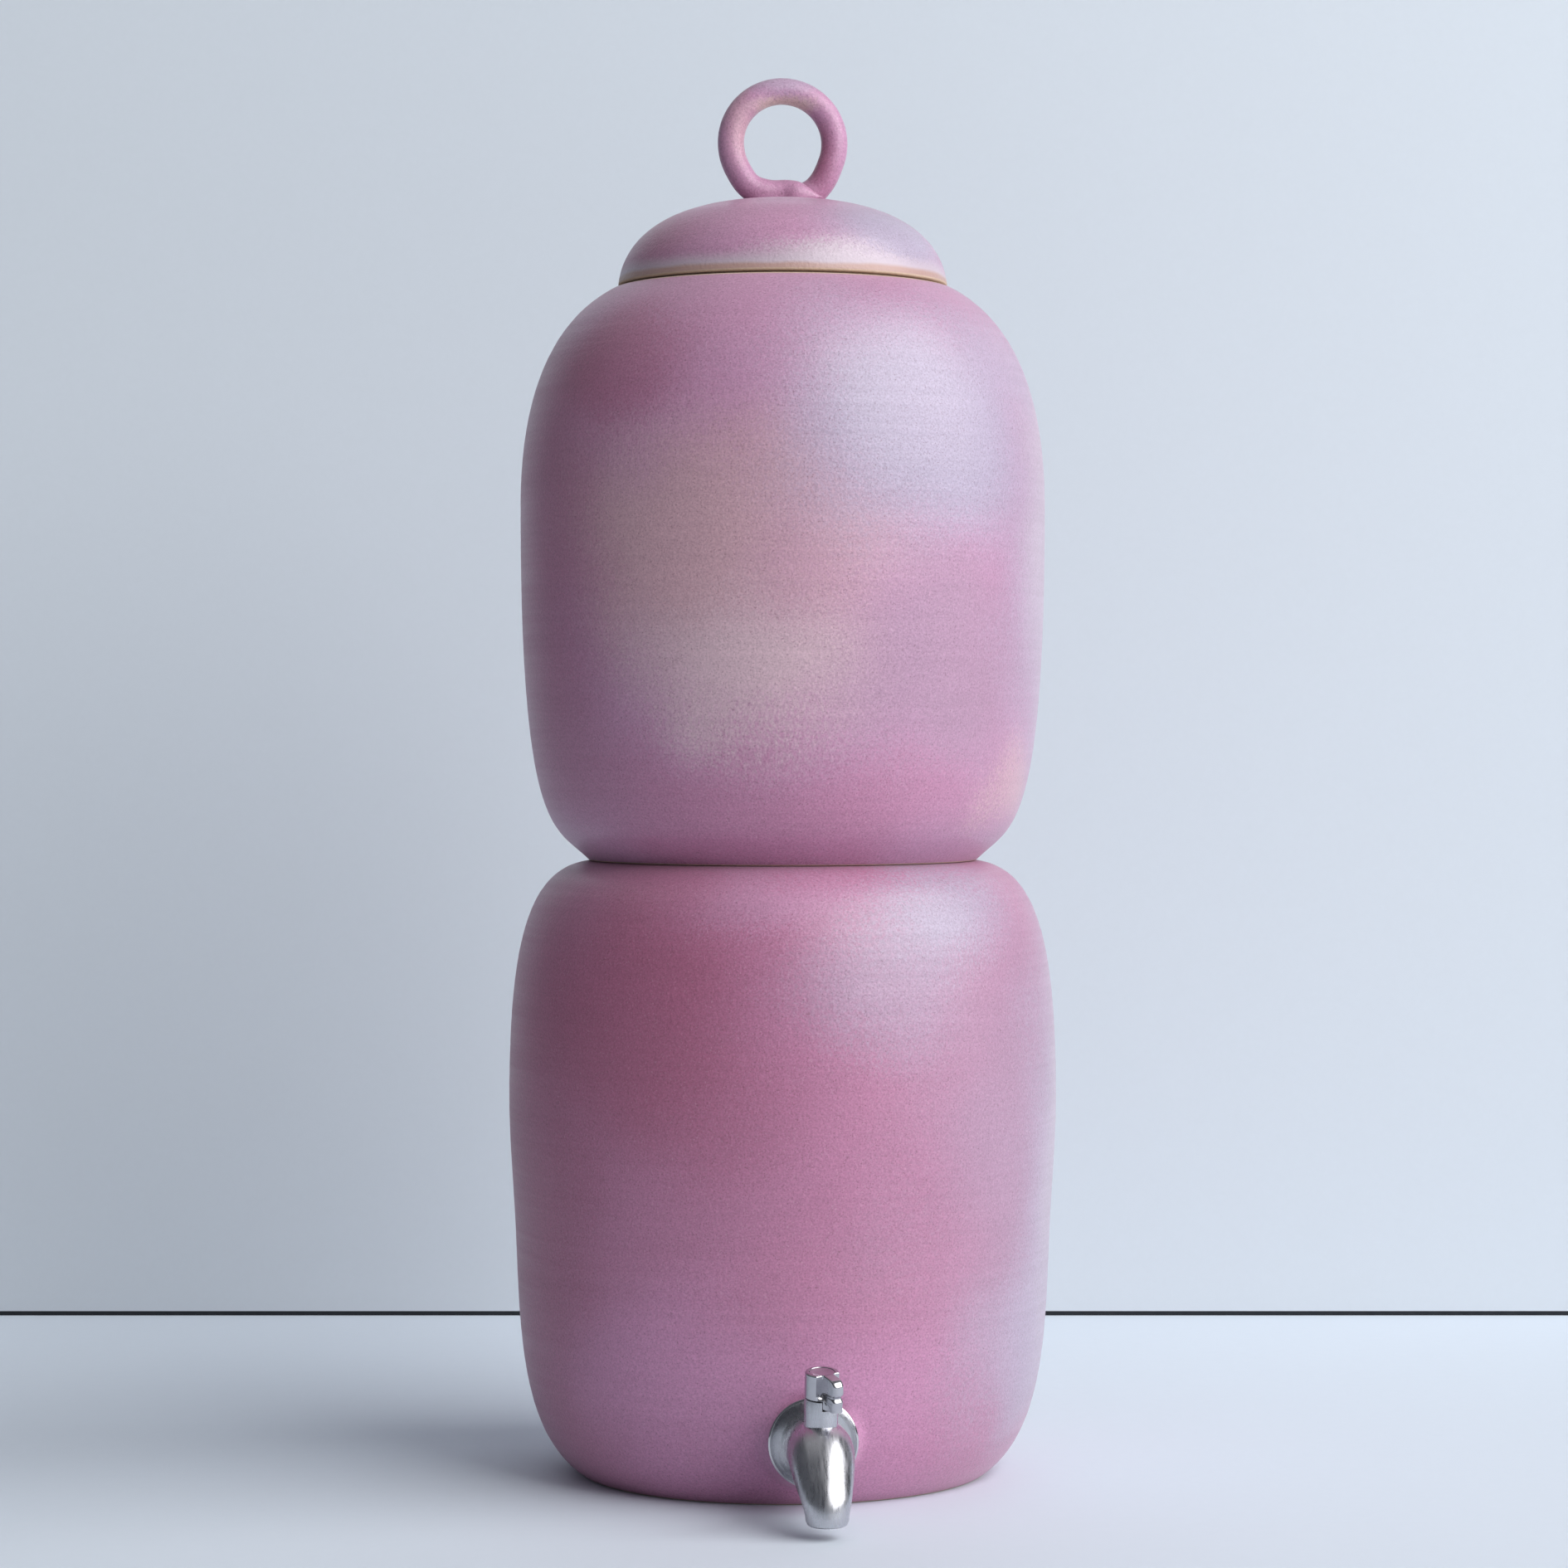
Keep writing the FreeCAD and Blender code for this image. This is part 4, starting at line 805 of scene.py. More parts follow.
def bent_spout(tap):
    """Grid of the tap's bend: circles whose place, size and tip follow natural curves.

    From the flange the circles grow along the bend to the spout's rounded lip, which is half
    an ellipse across the wall, then turn back up inside as the bore.
    """
    table = np.array(BEND)
    knots = distances_along(table[:, :2])
    outside = np.linspace(0, knots[-1] - LIP_ROUNDING, 90)
    lip = np.linspace(0, math.pi, 7)
    bore = outside[-1] - np.linspace(0.2, SPOUT_BORE_DEPTH, 12)
    places = np.concatenate([outside, np.full(len(lip), outside[-1]), bore])
    forward, drop, radius, tip = (natural_curve(knots, values, places) for values in table.T)
    tip = np.radians(tip)
    past = np.concatenate([0 * outside, LIP_ROUNDING * np.sin(lip), 0 * bore])
    inset = np.concatenate([0 * outside, (1 - np.cos(lip)) / 2, np.ones(len(bore))]) * SPOUT_WALL
    forward += past * np.cos(tip)
    drop += past * np.sin(tip)
    about = even_turns(72)
    circle = (radius - inset)[:, None]
    rise = circle * np.cos(about)
    grid = points_at(
        circle * np.sin(about),
        -(forward[:, None] + rise * np.sin(tip)[:, None]),
        -drop[:, None] + rise * np.cos(tip)[:, None],
    )
    return at_tap(grid * MM, tap)


def threaded_shank(tap):
    """Grid of the shank: its radius falls by the thread's depth once every pitch.

    The thread is a triangle wave of (distance / pitch + turn / full turn).
    """
    places = np.linspace(-(tap.washer + tap.flange_thickness), tap.shank_end, 220)
    about = even_turns(48)
    wave = places[:, None] / tap.thread_pitch + about / (2 * math.pi)
    cut = 1 - np.abs(2 * (wave - np.floor(wave)) - 1)
    cut *= smoothstep(places, 4 * MM, 6 * MM)[:, None]
    radius = tap.shank - tap.thread_depth * cut
    outer = points_at(radius * np.cos(about), places[:, None], radius * np.sin(about))
    bore = np.array([[tap.supply, tap.shank_end], [tap.supply, 2 * MM]])
    inner = about_y(turned(bore, about))
    inner[..., 2] *= -1
    return at_tap(np.concatenate([outer, inner]), tap)


def in_neck(grid, tap):
    """Carry points of the valve neck's own frame to their place on the leaning neck."""
    lean = tap.neck_lean
    x, y, z = np.moveaxis(grid, -1, 0)
    return points_at(
        x,
        y * math.cos(lean) - z * math.sin(lean) - tap.seat - tap.neck_forward,
        y * math.sin(lean) + z * math.cos(lean) + tap.height,
    )


def valve_neck(tap):
    """Grid of the neck: a tube whose top steps down where the handle's stop tab travels.

    The top's height is the neck's, less the tab's depth and gap between the two stops; the
    rows run up the outside, over the top edge and down the bore.
    """
    first = tap.tab_start - tap.stop_play
    last = tap.tab_start + tap.tab_span + tap.travel + tap.stop_play
    step = math.radians(0.4)
    about = np.sort(np.concatenate([
        even_turns(96) - math.pi / 2, [first - step, first, last, last + step],
    ]))
    notched = (about >= first) & (about <= last)
    top = tap.neck_height - notched * (tap.tab_depth + tap.handle_gap)
    edge = 0.25 * MM
    rows = [
        (tap.neck_radius, 6 * MM * np.ones_like(top)),
        (tap.neck_radius, between(6 * MM, top - edge, 0.5)),
        (tap.neck_radius, top - edge),
        (tap.neck_radius - edge * 0.3, top - edge * 0.3),
        (tap.neck_radius - edge, top),
        (tap.valve + edge * 0.6, top),
        (tap.valve, top - edge * 0.6),
        (tap.valve, 8 * MM * np.ones_like(top)),
    ]
    radius = np.array([row[0] for row in rows])[:, None]
    height = np.stack([row[1] for row in rows])
    # about is measured from the front (-Y) towards +X.
    return in_neck(points_at(radius * np.sin(about), -radius * np.cos(about), height), tap)


# The lever at heights along the neck: where its flat side starts and where its tip ends, in mm.
LEVER_SIDE = ((18.9, 11.0), (19.8, 10.6), (20.9, 9.2), (22.5, 5.6), (24.2, 3.7), (25.5, 3.3),
              (27, 3.4), (29.5, 3.95), (31.6, 4.3))
LEVER_TIP = ((18.9, 11.7), (21.5, 11.72), (23.3, 11.6), (24.4, 10.95), (25.4, 11.7), (27.5, 12.0),
             (29.6, 11.85), (30.7, 11.2), (31.6, 9.9))
# Where the small groove runs round the lever, on the same scale.
GROOVE_HEIGHT = 24.4


def lever_sections(heights, half, radius, right, left):
    """Plan of the lever's front at each height, from its right root round the tip to its left.

    Each flank runs straight from the cap's circle at the root angle to the flat side, less
    half a sine wave that hollows it.  The tip is a flattened circle: its cosine and sine
    raised to the power 0.8.
    """
    levels = heights / MM
    side = natural_curve(*zip(*LEVER_SIDE), levels)[:, None] * MM
    tip = natural_curve(*zip(*LEVER_TIP), levels)[:, None] * MM
    groove = 0.25 * MM * bell(levels, GROOVE_HEIGHT, 0.6)[:, None]
    wide = half - groove
    share = np.linspace(0, 1, 8)[None, :-1]
    nose = 1.3 * MM
    lobe = np.linspace(math.pi / 2, -math.pi / 2, 15)[None, :]
    side = np.minimum(side, tip - nose - 0.2 * MM)
    pieces = []
    for sign, root in ((1, right), (-1, left)):
        start_x = radius * math.cos(root)
        start_y = radius * math.sin(root)
        hollow = 0.35 * MM * np.sin(math.pi * share) * smoothstep(side, 4 * MM, 8 * MM)
        flank_x = start_x + (side - start_x) * share
        flank_y = start_y + (wide - start_y) * share - hollow
        blade_x = side + (tip - nose - side) * share
        blade_y = wide * np.ones_like(blade_x)
        pieces.append((np.hstack([flank_x, blade_x]), sign * np.hstack([flank_y, blade_y])))
    nose_x = tip - nose + nose * np.cos(lobe) ** 0.8
    nose_y = wide * np.sign(np.sin(lobe)) * np.abs(np.sin(lobe)) ** 0.8
    (right_x, right_y), (left_x, left_y) = pieces
    plan_x = np.hstack([right_x, nose_x, left_x[:, ::-1]])
    plan_y = np.hstack([right_y, nose_y, left_y[:, ::-1]])
    return points_at(plan_x, plan_y)


def closed_plans(fronts, back, radius, draws):
    """Close each front section with an arc of a radius, then draw it in along its normals."""
    arc = radius * points_at(np.cos(back), np.sin(back))
    plans = np.concatenate([fronts, np.broadcast_to(arc, (len(fronts), *arc.shape))], axis=1)
    ahead = unit(np.roll(plans, -1, axis=1) - np.roll(plans, 1, axis=1))
    inward = points_at(ahead[..., 1], -ahead[..., 0])
    return plans + inward * draws[:, None, None]


def towards_lever(plans, heights, tap):
    """Turn plans drawn along the lever to where the lever points, at their heights."""
    turned_by = tap.lever_turn
    along = plans[..., 0]
    aside = plans[..., 1]
    return points_at(
        along * math.sin(turned_by) + aside * math.cos(turned_by),
        -along * math.cos(turned_by) + aside * math.sin(turned_by),
        heights,
    )


def lever_cap(tap):
    """Grid of the cap and its lever: stacked plans, a rounded top edge and the recess.

    Each plan is the cap's circle round the back and the lever's section at the front; the
    top falls by 1 mm towards the tip, as the power 1.6 of the distance from the recess.
    """
    low = tap.neck_height + tap.handle_gap
    high = low + tap.handle_height
    bevel = tap.handle_bevel
    arc = np.linspace(0, math.pi / 2, 6)
    heights = np.concatenate([
        [low, low + 0.15 * MM], np.linspace(low + 0.5 * MM, high - bevel, 26),
        high - bevel + bevel * np.sin(arc[1:]),
    ])
    draws = np.concatenate([[0.15 * MM], np.zeros(27), bevel * (1 - np.cos(arc[1:]))])
    # Half the angle of the cap that the lever's root takes up, and how far its tip reaches.
    root = math.radians(52)
    tip_reach = 7.3 * MM
    front = lever_sections(heights, tap.lever_half, tap.handle_radius, root, root)
    back = np.linspace(-root, root - 2 * math.pi, 44)[1:-1]
    plans = closed_plans(front, back, tap.handle_radius, draws)
    radius = np.linalg.norm(plans, axis=-1)
    slim = np.maximum(radius, tap.recess + 0.1 * MM) / radius
    plans = plans * np.where(heights[:, None] > high - tap.recess_depth, slim, 1)[..., None]
    radius = np.linalg.norm(plans, axis=-1)
    reach = np.clip((radius - tap.recess) / tip_reach, 0, 1)
    fall = 1.0 * MM * reach ** 1.6 * smoothstep(heights, low + 4 * MM, high)[:, None]
    outer = towards_lever(plans, heights[:, None] - fall, tap)
    bearing = np.arctan2(plans[-1, :, 1], plans[-1, :, 0])
    rim = points_at(np.cos(bearing), np.sin(bearing))
    floor = high - tap.recess_depth
    inner_heights = np.array([high - 0.05 * MM, high - 0.25 * MM, floor])
    inner_radii = np.array([tap.recess + 0.12 * MM, tap.recess, tap.recess])
    inner = towards_lever(rim * inner_radii[:, None, None], inner_heights[:, None], tap)
    return in_neck(np.concatenate([outer, inner]), tap)


def lever_foot(tap):
    """Grid of the stop tab and the lever's foot below the cap: stacked plans.

    Each plan is the lever's section at the front and the tab's inner arc behind it.
    """
    top = tap.neck_height + tap.handle_gap
    low = top - tap.tab_depth
    heights = np.concatenate([[low, low + 0.12 * MM], np.linspace(low + 0.4 * MM, top + 0.3 * MM, 10)])
    draws = np.concatenate([[0.12 * MM], np.zeros(11)])
    right = tap.tab_start + tap.tab_span - tap.lever_turn
    left = tap.lever_turn - tap.tab_start
    front = lever_sections(heights, tap.lever_half, tap.handle_radius, right, left)
    back = np.linspace(-left, right, 16)
    plans = closed_plans(front, back, tap.valve + 0.06 * MM, draws)
    return in_neck(towards_lever(plans, heights[:, None], tap), tap)


def dished_cover(tap):
    """Grid of the cover disc: flat below, its face hollowed towards the middle."""
    floor = tap.neck_height + tap.handle_gap + tap.handle_height - tap.recess_depth
    low = floor + tap.cover_play
    high = low + tap.cover_thickness
    outer = tap.recess - tap.cover_play
    hub = 0.3 * MM
    points = outline((hub, low), [
        line_to((outer, low)),
        line_to((outer, high), 0.15 * MM, 0.3 * MM),
        curve_to(
            (outer * 0.55, high - tap.cover_dish),
            (outer * 0.45, high - tap.cover_dish),
            (hub, high - tap.cover_dish), step=0.3 * MM,
        ),
    ])[0]
    return in_neck(turned(points, even_turns(ROUND_COLUMNS)), tap)


# ---------------------------------------------------------------- materials

def add_node(tree, kind, inputs=None, **settings):
    """Add a node: settings are its options, inputs its sockets' values or the nodes they read."""
    node = tree.nodes.new("ShaderNode" + kind)
    for name, setting in settings.items():
        setattr(node, name, setting)
    for name, source in (inputs or {}).items():
        if isinstance(source, bpy.types.Node):
            source = source.outputs[0]
        if isinstance(source, bpy.types.NodeSocket):
            tree.links.new(source, node.inputs[name])
        else:
            node.inputs[name].default_value = source
    return node


def start_material(name):
    """A fresh material with its output, its shader and the object's own coordinates."""
    material = bpy.data.materials.new(name)
    material.use_nodes = True
    tree = material.node_tree
    tree.nodes.clear()
    shader = add_node(tree, "BsdfPrincipled")
    add_node(tree, "OutputMaterial", {"Surface": shader})
    place = add_node(tree, "TexCoord").outputs["Object"]
    return material, tree, shader, place


def opaque(tone):
    """A colour as the four numbers a colour socket holds."""
    return (*tone, 1)


def surface(tree, shader, tone, roughness, height, distance, strength):
    """Give the shader its tone, its roughness and a relief that is a distance deep."""
    bump = add_node(tree, "Bump", {"Height": height, "Distance": distance, "Strength": strength})
    tree.links.new(tone, shader.inputs["Base Color"])
    tree.links.new(roughness, shader.inputs["Roughness"])
    tree.links.new(bump.outputs["Normal"], shader.inputs["Normal"])


# A Mix node repeats its sockets' names for each kind of data: in colours the share is 0, the
# two tones are 6 and 7, and the result is output 2.
SHARE, FIRST_TONE, SECOND_TONE, MIXED_TONE = 0, 6, 7, 2
# Most of a noise's values lie between these two.
MOST = (0.3, 0.7)


def grain(tree, place, size, detail=2.0, low=0.0, high=1.0, start=0.0, end=1.0):
    """A cloud pattern of one real size, or three for drawn-out ones, carried to a range.

    Noise at place / size, whose value from low to high becomes start to end.
    """
    sizes = (size,) * 3 if isinstance(size, float) else size
    scaled = add_node(tree, "Mapping", {"Vector": place, "Scale": sizes}, vector_type="TEXTURE")
    cloud = add_node(tree, "TexNoise", {"Vector": scaled, "Scale": 1.0, "Detail": detail})
    return add_node(tree, "MapRange", {
        "Value": cloud, "From Min": low, "From Max": high, "To Min": start, "To Max": end,
    }).outputs["Result"]


def stirred(tree, place, size, reach):
    """The place, pushed about by up to a third of reach with a cloud of that size."""
    scaled = add_node(tree, "Mapping", {"Vector": place, "Scale": (size,) * 3}, vector_type="TEXTURE")
    cloud = add_node(tree, "TexNoise", {"Vector": scaled, "Scale": 1.0, "Detail": 1.0})
    middle = add_node(tree, "VectorMath", {
        0: cloud.outputs["Color"], 1: (0.5, 0.5, 0.5),
    }, operation="SUBTRACT")
    return add_node(tree, "VectorMath", {
        0: middle, 1: (reach,) * 3, 2: place,
    }, operation="MULTIPLY_ADD").outputs["Vector"]


def sprayed(tree, place, tone, patches, colours):
    """Lay patches of colour over a tone, sprayed glaze and painted light and shade alike, each fading out
    from its middle to its edge.

    A patch is its colour's name, its middle, its three radii (both in millimetres) and how
    thickly it lies: the share is that times a smooth fall of |(place - middle) / radii|.
    """
    for name, middle, radii, thickness in patches:
        centred = add_node(tree, "Mapping", {
            "Vector": place,
            "Location": tuple(part * MM for part in middle),
            "Scale": tuple(part * MM for part in radii),
        }, vector_type="TEXTURE")
        away = add_node(tree, "VectorMath", {0: centred}, operation="LENGTH").outputs["Value"]
        share = add_node(tree, "MapRange", {
            "Value": away, "From Min": 0.25, "From Max": 1.15, "To Min": thickness, "To Max": 0.0,
        }, interpolation_type="SMOOTHSTEP")
        tone = add_node(tree, "Mix", {
            SHARE: share, FIRST_TONE: tone, SECOND_TONE: opaque(getattr(colours, name)),
        }, data_type="RGBA").outputs[MIXED_TONE]
    return tone


def satin_glaze(name, colours, base, patches, finish=None, ripple=1.0, waver=1.0):
    """Stoneware with sprayed satin glaze, fired: soft clouds, fine specks and level ripples.

    finish, where given, takes the tree and the place and returns the layers that lie over the
    glaze, each a share and a tint.  ripple is how strong the ribs are, and waver how far the
    patches' edges stray.
    """
    material, tree, shader, place = start_material(name)
    # Spray lands as droplets, so a patch's edge wavers widely and breaks up finely.
    drifted = stirred(tree, place, 60 * MM, 50 * MM * waver)
    wavering = stirred(tree, drifted, 1.1 * MM, 30 * MM * waver)
    tone = sprayed(tree, wavering, opaque(getattr(colours, base)), patches, colours)
    # Ribs pressed in while the wall turned: level lines about 2.4 mm apart that glaze runs off.
    ribs = grain(tree, place, (0.22, 0.22, 2.4 * MM), 3.0)
    rub = grain(tree, place, (0.11, 0.11, 0.7 * MM), 2.0)
    cloud = grain(tree, place, 26 * MM, 3.0, *MOST, 0.98, 1.02)
    # The ribs shade the glaze faintly, and it is smoother where it pooled between them.
    shade, gloss = (
        add_node(tree, "MapRange", {
            "Value": ribs, "From Min": MOST[0], "From Max": MOST[1], "To Min": start, "To Max": end,
        })
        for start, end in ((0.98, 1.02), (0.42, 0.34))
    )
    # Droplets 0.3 mm wide leave a mottle in the glaze; it is drawn 0.8 mm wide so it shows.
    mottle = grain(tree, place, 0.8 * MM, 2.0, *MOST, 0.87, 1.12)
    level = cloud
    for factor in (shade, mottle):
        level = add_node(tree, "Math", {0: level, 1: factor}, operation="MULTIPLY")
    tone = add_node(tree, "VectorMath", {0: tone, "Scale": level}, operation="SCALE")
    # Iron specks and pale unmelted grains are 0.2 mm; they are drawn 0.6 mm wide so they show.
    dark = grain(tree, place, 0.6 * MM, 1.0, 0.60, 0.74, 0.0, 0.45)
    pale = grain(tree, place, 0.6 * MM, 1.0, 0.38, 0.24, 0.0, 0.16)
    layers = [(dark, opaque(linear("#6d4753"))), (pale, opaque(linear("#e6d7dc")))]
    if finish:
        layers += finish(tree, place)
    # Unglazed clay shows where the rows carry no throwing lines: the foot, the rims and inside.
    bare = add_node(tree, "Attribute", attribute_name="bare").outputs["Fac"]
    clay = add_node(tree, "VectorMath", {
        0: colours.inside, "Scale": grain(tree, place, 1.6 * MM, 3.0, *MOST, 0.94, 1.06),
    }, operation="SCALE")
    layers.append((bare, clay))
    for share, tint in layers:
        tone = add_node(tree, "Mix", {
            SHARE: share, FIRST_TONE: tone, SECOND_TONE: tint,
        }, data_type="RGBA").outputs[MIXED_TONE]
    # Bare clay is matt.
    matt = add_node(tree, "Math", {0: bare, 1: 0.45, 2: gloss}, operation="MULTIPLY_ADD", use_clamp=True)
    # The spray dried in droplets, so the glaze is pitted like orange peel.
    peel = grain(tree, place, 1.3 * MM, 3.0)
    relief = 0.0
    for marks, depth in ((ribs, 0.08 * ripple), (rub, 0.03 * ripple), (peel, 0.22)):
        relief = add_node(tree, "Math", {0: marks, 1: depth, 2: relief}, operation="MULTIPLY_ADD")
    surface(tree, shader, tone, matt.outputs[0], relief, MM, 0.8)
    # Sprayed droplets that dried before they landed leave a fine bloom, pale at a low angle.
    shader.inputs["Sheen Weight"].default_value = 0.12
    shader.inputs["Sheen Roughness"].default_value = 0.5
    return material


def worked_steel(name, tone, dull, spread, scratch, lay):
    """Stainless steel, polished or brushed: its roughness varies along the tool's marks.

    The roughness is dull plus or minus spread, drawn out along the lay's longest size.
    """
    material, tree, shader, place = start_material(name)
    marks = grain(tree, place, lay, 3.0, *MOST, dull - spread, dull + spread)
    smears = grain(tree, place, 4 * MM, 2.0, *MOST, 0.94, 1.0)
    smeared = add_node(tree, "VectorMath", {0: tone, "Scale": smears}, operation="SCALE")
    shader.inputs["Metallic"].default_value = 1.0
    fine = grain(tree, place, lay, 4.0)
    surface(tree, shader, smeared.outputs[0], marks, fine, scratch, 0.5)
    return material


def plain_stuff(name, tone, size, vary, roughness, relief, ior=1.5):
    """A dull stuff of one colour whose tone varies by a share in grains of one real size."""
    material, tree, shader, place = start_material(name)
    shade = grain(tree, place, size, 4.0, *MOST, 1 - vary, 1 + vary)
    varied = add_node(tree, "VectorMath", {0: tone, "Scale": shade}, operation="SCALE")
    worn = grain(tree, place, size * 2, 2.0, *MOST, roughness - 0.06, roughness + 0.06)
    shader.inputs["IOR"].default_value = ior
    surface(tree, shader, varied.outputs[0], worn, grain(tree, place, size, 3.0), relief, 0.6)
    return material


# Sprayed patches, and patches of painted light and shade: colour, middle and radii in millimetres, and
# how thickly it lies.
LOWER_PATCHES = (
    ("pink", (-25, -100, 40), (115, 70, 52), 0.95),
    ("dusty_rose", (88, -62, 130), (82, 90, 130), 1.0),
    ("deep_rose_and_painted_shade", (-66, -84, 182), (78, 60, 74), 0.9),
    ("mauve", (-10, -86, 234), (50, 45, 16), 0.7),
    # Painted highlight: these two lilac patches lighten the lower jar's shoulder where the window shines
    # on it.
    ("lilac_and_painted_highlight", (50, -82, 222), (50, 45, 26), 0.8),
    ("lilac_and_painted_highlight", (26, -96, 200), (46, 45, 32), 0.5),
    # Partly lilac overspray, partly a painted sheen of the window down the lower jar's right side.
    ("lilac_and_painted_highlight", (106, -25, 110), (42, 70, 130), 0.7),
    ("lilac_and_painted_highlight", (90, -55, 52), (56, 60, 40), 0.5),
    # Painted shade: deep rose darkens the lower jar's left flank, away from the window.
    ("deep_rose_and_painted_shade", (-106, -30, 140), (40, 80, 160), 0.75),
    # Painted light: milk lightens the lower jar's right edge, towards the window.
    ("milk_and_painted_light", (110, -20, 130), (24, 60, 130), 0.45),
)
UPPER_PATCHES = (
    ("sand", (-45, -92, 364), (95, 60, 58), 0.95),
    ("cloud", (-30, -100, 314), (76, 50, 36), 0.85),
    # Partly lilac overspray, partly a painted highlight where the window shines on the upper jar's
    # shoulder.
    ("lilac_and_painted_highlight", (52, -90, 412), (80, 65, 64), 0.85),
    ("dusty_rose", (58, -85, 318), (62, 60, 50), 0.9),
    ("deep_rose_and_painted_shade", (-72, -64, 430), (50, 40, 26), 0.6),
    ("rose", (-30, -88, 262), (130, 75, 31), 0.95),
    ("cream", (84, -50, 268), (26, 34, 22), 0.35),
    # Partly lilac overspray, partly a painted sheen of the window down the upper jar's right side.
    ("lilac_and_painted_highlight", (101, -25, 350), (34, 70, 120), 0.6),
    ("lilac_and_painted_highlight", (86, -45, 438), (46, 50, 30), 0.5),
    # Painted shade: deep rose darkens the upper jar's left flank, away from the window.
    ("deep_rose_and_painted_shade", (-102, -30, 370), (38, 80, 160), 0.6),
    # Painted light: milk lightens the upper jar's right edge, towards the window.
    ("milk_and_painted_light", (105, -20, 380), (24, 60, 130), 0.45),
)
LID_PATCHES = (
    ("lilac_and_painted_highlight", (40, -45, 488), (42, 45, 26), 0.85),
    ("milk_and_painted_light", (24, -56, 471), (56, 40, 11), 0.9),
    # Painted shade: deep rose darkens the lid's left side, away from the window.
    ("deep_rose_and_painted_shade", (-58, -30, 490), (26, 40, 26), 0.6),
)
RING_PATCHES = (
    ("lilac_and_painted_highlight", (2, -3, 549), (26, 9, 7), 0.5),
    # Partly a thin cream glaze, partly painted light bounced from the lid onto the ring's inner top.
    ("cream", (0, -2, 539), (17, 9, 5), 0.9),
    ("sand", (-17, -3, 530), (8, 9, 18), 0.7),
    ("deep_rose_and_painted_shade", (16, 0, 520), (9, 10, 18), 0.7),
)


def lid_edge(colours, lid, edge):
    """The lid's lower edge: a band of bare clay, then thin milky glaze, then the full glaze."""
    def finish(tree, place):
        """Layers by height above the edge, which wavers a little round the lid."""
        wavering = stirred(tree, place, 22 * MM, 2.2 * MM)
        height = add_node(tree, "SeparateXYZ", {"Vector": wavering}).outputs["Z"]
        band = edge + lid.clay_band
        layers = []
        for tint, low, high in (
            (colours.milk_and_painted_light, band - 1 * MM, band + 6 * MM),
            (colours.clay, band - 0.9 * MM, band + 0.9 * MM),
        ):
            share = add_node(tree, "MapRange", {
                "Value": height, "From Min": low, "From Max": high, "To Min": 1.0, "To Max": 0.0,
            }, interpolation_type="SMOOTHSTEP")
            layers.append((share, opaque(tint)))
        return layers
    return finish


# ---------------------------------------------------------------- operators

class CLAYFILTER_OT_lower_jar(bpy.types.Operator):
    """Throw the lower jar, with its flat seats for the tap, and drill the tap hole"""
    bl_idname = "clayfilter.lower_jar"
    bl_label = "Lower jar"

    def execute(self, context):
        """Build the jar, glaze it and let it stand for its solid."""
        scene = context.scene
        jar, tap = scene.filter_jars, scene.filter_tap
        points, marks = lower_jar_outline(jar)
        turns = close_set_turns(JAR_COLUMNS, 0.6)
        seats, plane = flat_seats(points, turns, tap)
        grid = worked_wall(points, marks, turns, jar.throwing_depth, seats)
        grid[..., 1] = between(grid[..., 1], plane, seats)
        glaze = satin_glaze("lower_satin_glaze", scene.filter_colours, "rose", LOWER_PATCHES)
        add_piece(
            "glazed_lower_jar", [skin(grid)], glaze, "stand", "lower_pot",
            bare=bare_points(marks, len(turns), 2),
            drill=(tap.hole, tap.height, -tap.seat - 5 * MM, -tap.seat + 20 * MM),
        )
        return {"FINISHED"}


class CLAYFILTER_OT_upper_jar(bpy.types.Operator):
    """Throw the upper jar with the locating ring under it"""
    bl_idname = "clayfilter.upper_jar"
    bl_label = "Upper jar"

    def execute(self, context):
        """Build the jar, glaze it and let it stand for its solid."""
        scene = context.scene
        jar = scene.filter_jars
        points, marks = upper_jar_outline(jar)
        turns = even_turns(JAR_COLUMNS)
        grid = worked_wall(points, marks, turns, jar.throwing_depth)
        glaze = satin_glaze("upper_satin_glaze", scene.filter_colours, "mauve", UPPER_PATCHES)
        add_piece(
            "glazed_upper_jar", [skin(grid, looped=True)], glaze, "filter_jar",
            "upper_pot", bare=bare_points(marks, len(turns), 0),
        )
        return {"FINISHED"}


class CLAYFILTER_OT_lid(bpy.types.Operator):
    """Throw the domed lid with the locating ring under it"""
    bl_idname = "clayfilter.lid"
    bl_label = "Lid"

    def execute(self, context):
        """Build the lid, glaze it down to its bare edge and let it stand for its solid."""
        scene = context.scene
        jar, lid = scene.filter_jars, scene.filter_lid
        points, marks = lid_outline(jar, lid)
        turns = even_turns(LID_COLUMNS)
        grid = worked_wall(points, marks, turns, jar.throwing_depth * 0.6)
        bare = bare_points(marks, len(turns), 2)
        # The first pole is the crown, which is glazed.
        bare[-2] = False
        edge = jar.lower_height + jar.upper_height + lid.edge_lift
        finish = lid_edge(scene.filter_colours, lid, edge)
        glaze = satin_glaze(
            "lid_satin_glaze", scene.filter_colours, "mauve", LID_PATCHES, finish, 0.6, 0.4,
        )
        add_piece("glazed_lid", [skin(grid)], glaze, "cover", "lid", bare=bare)
        return {"FINISHED"}


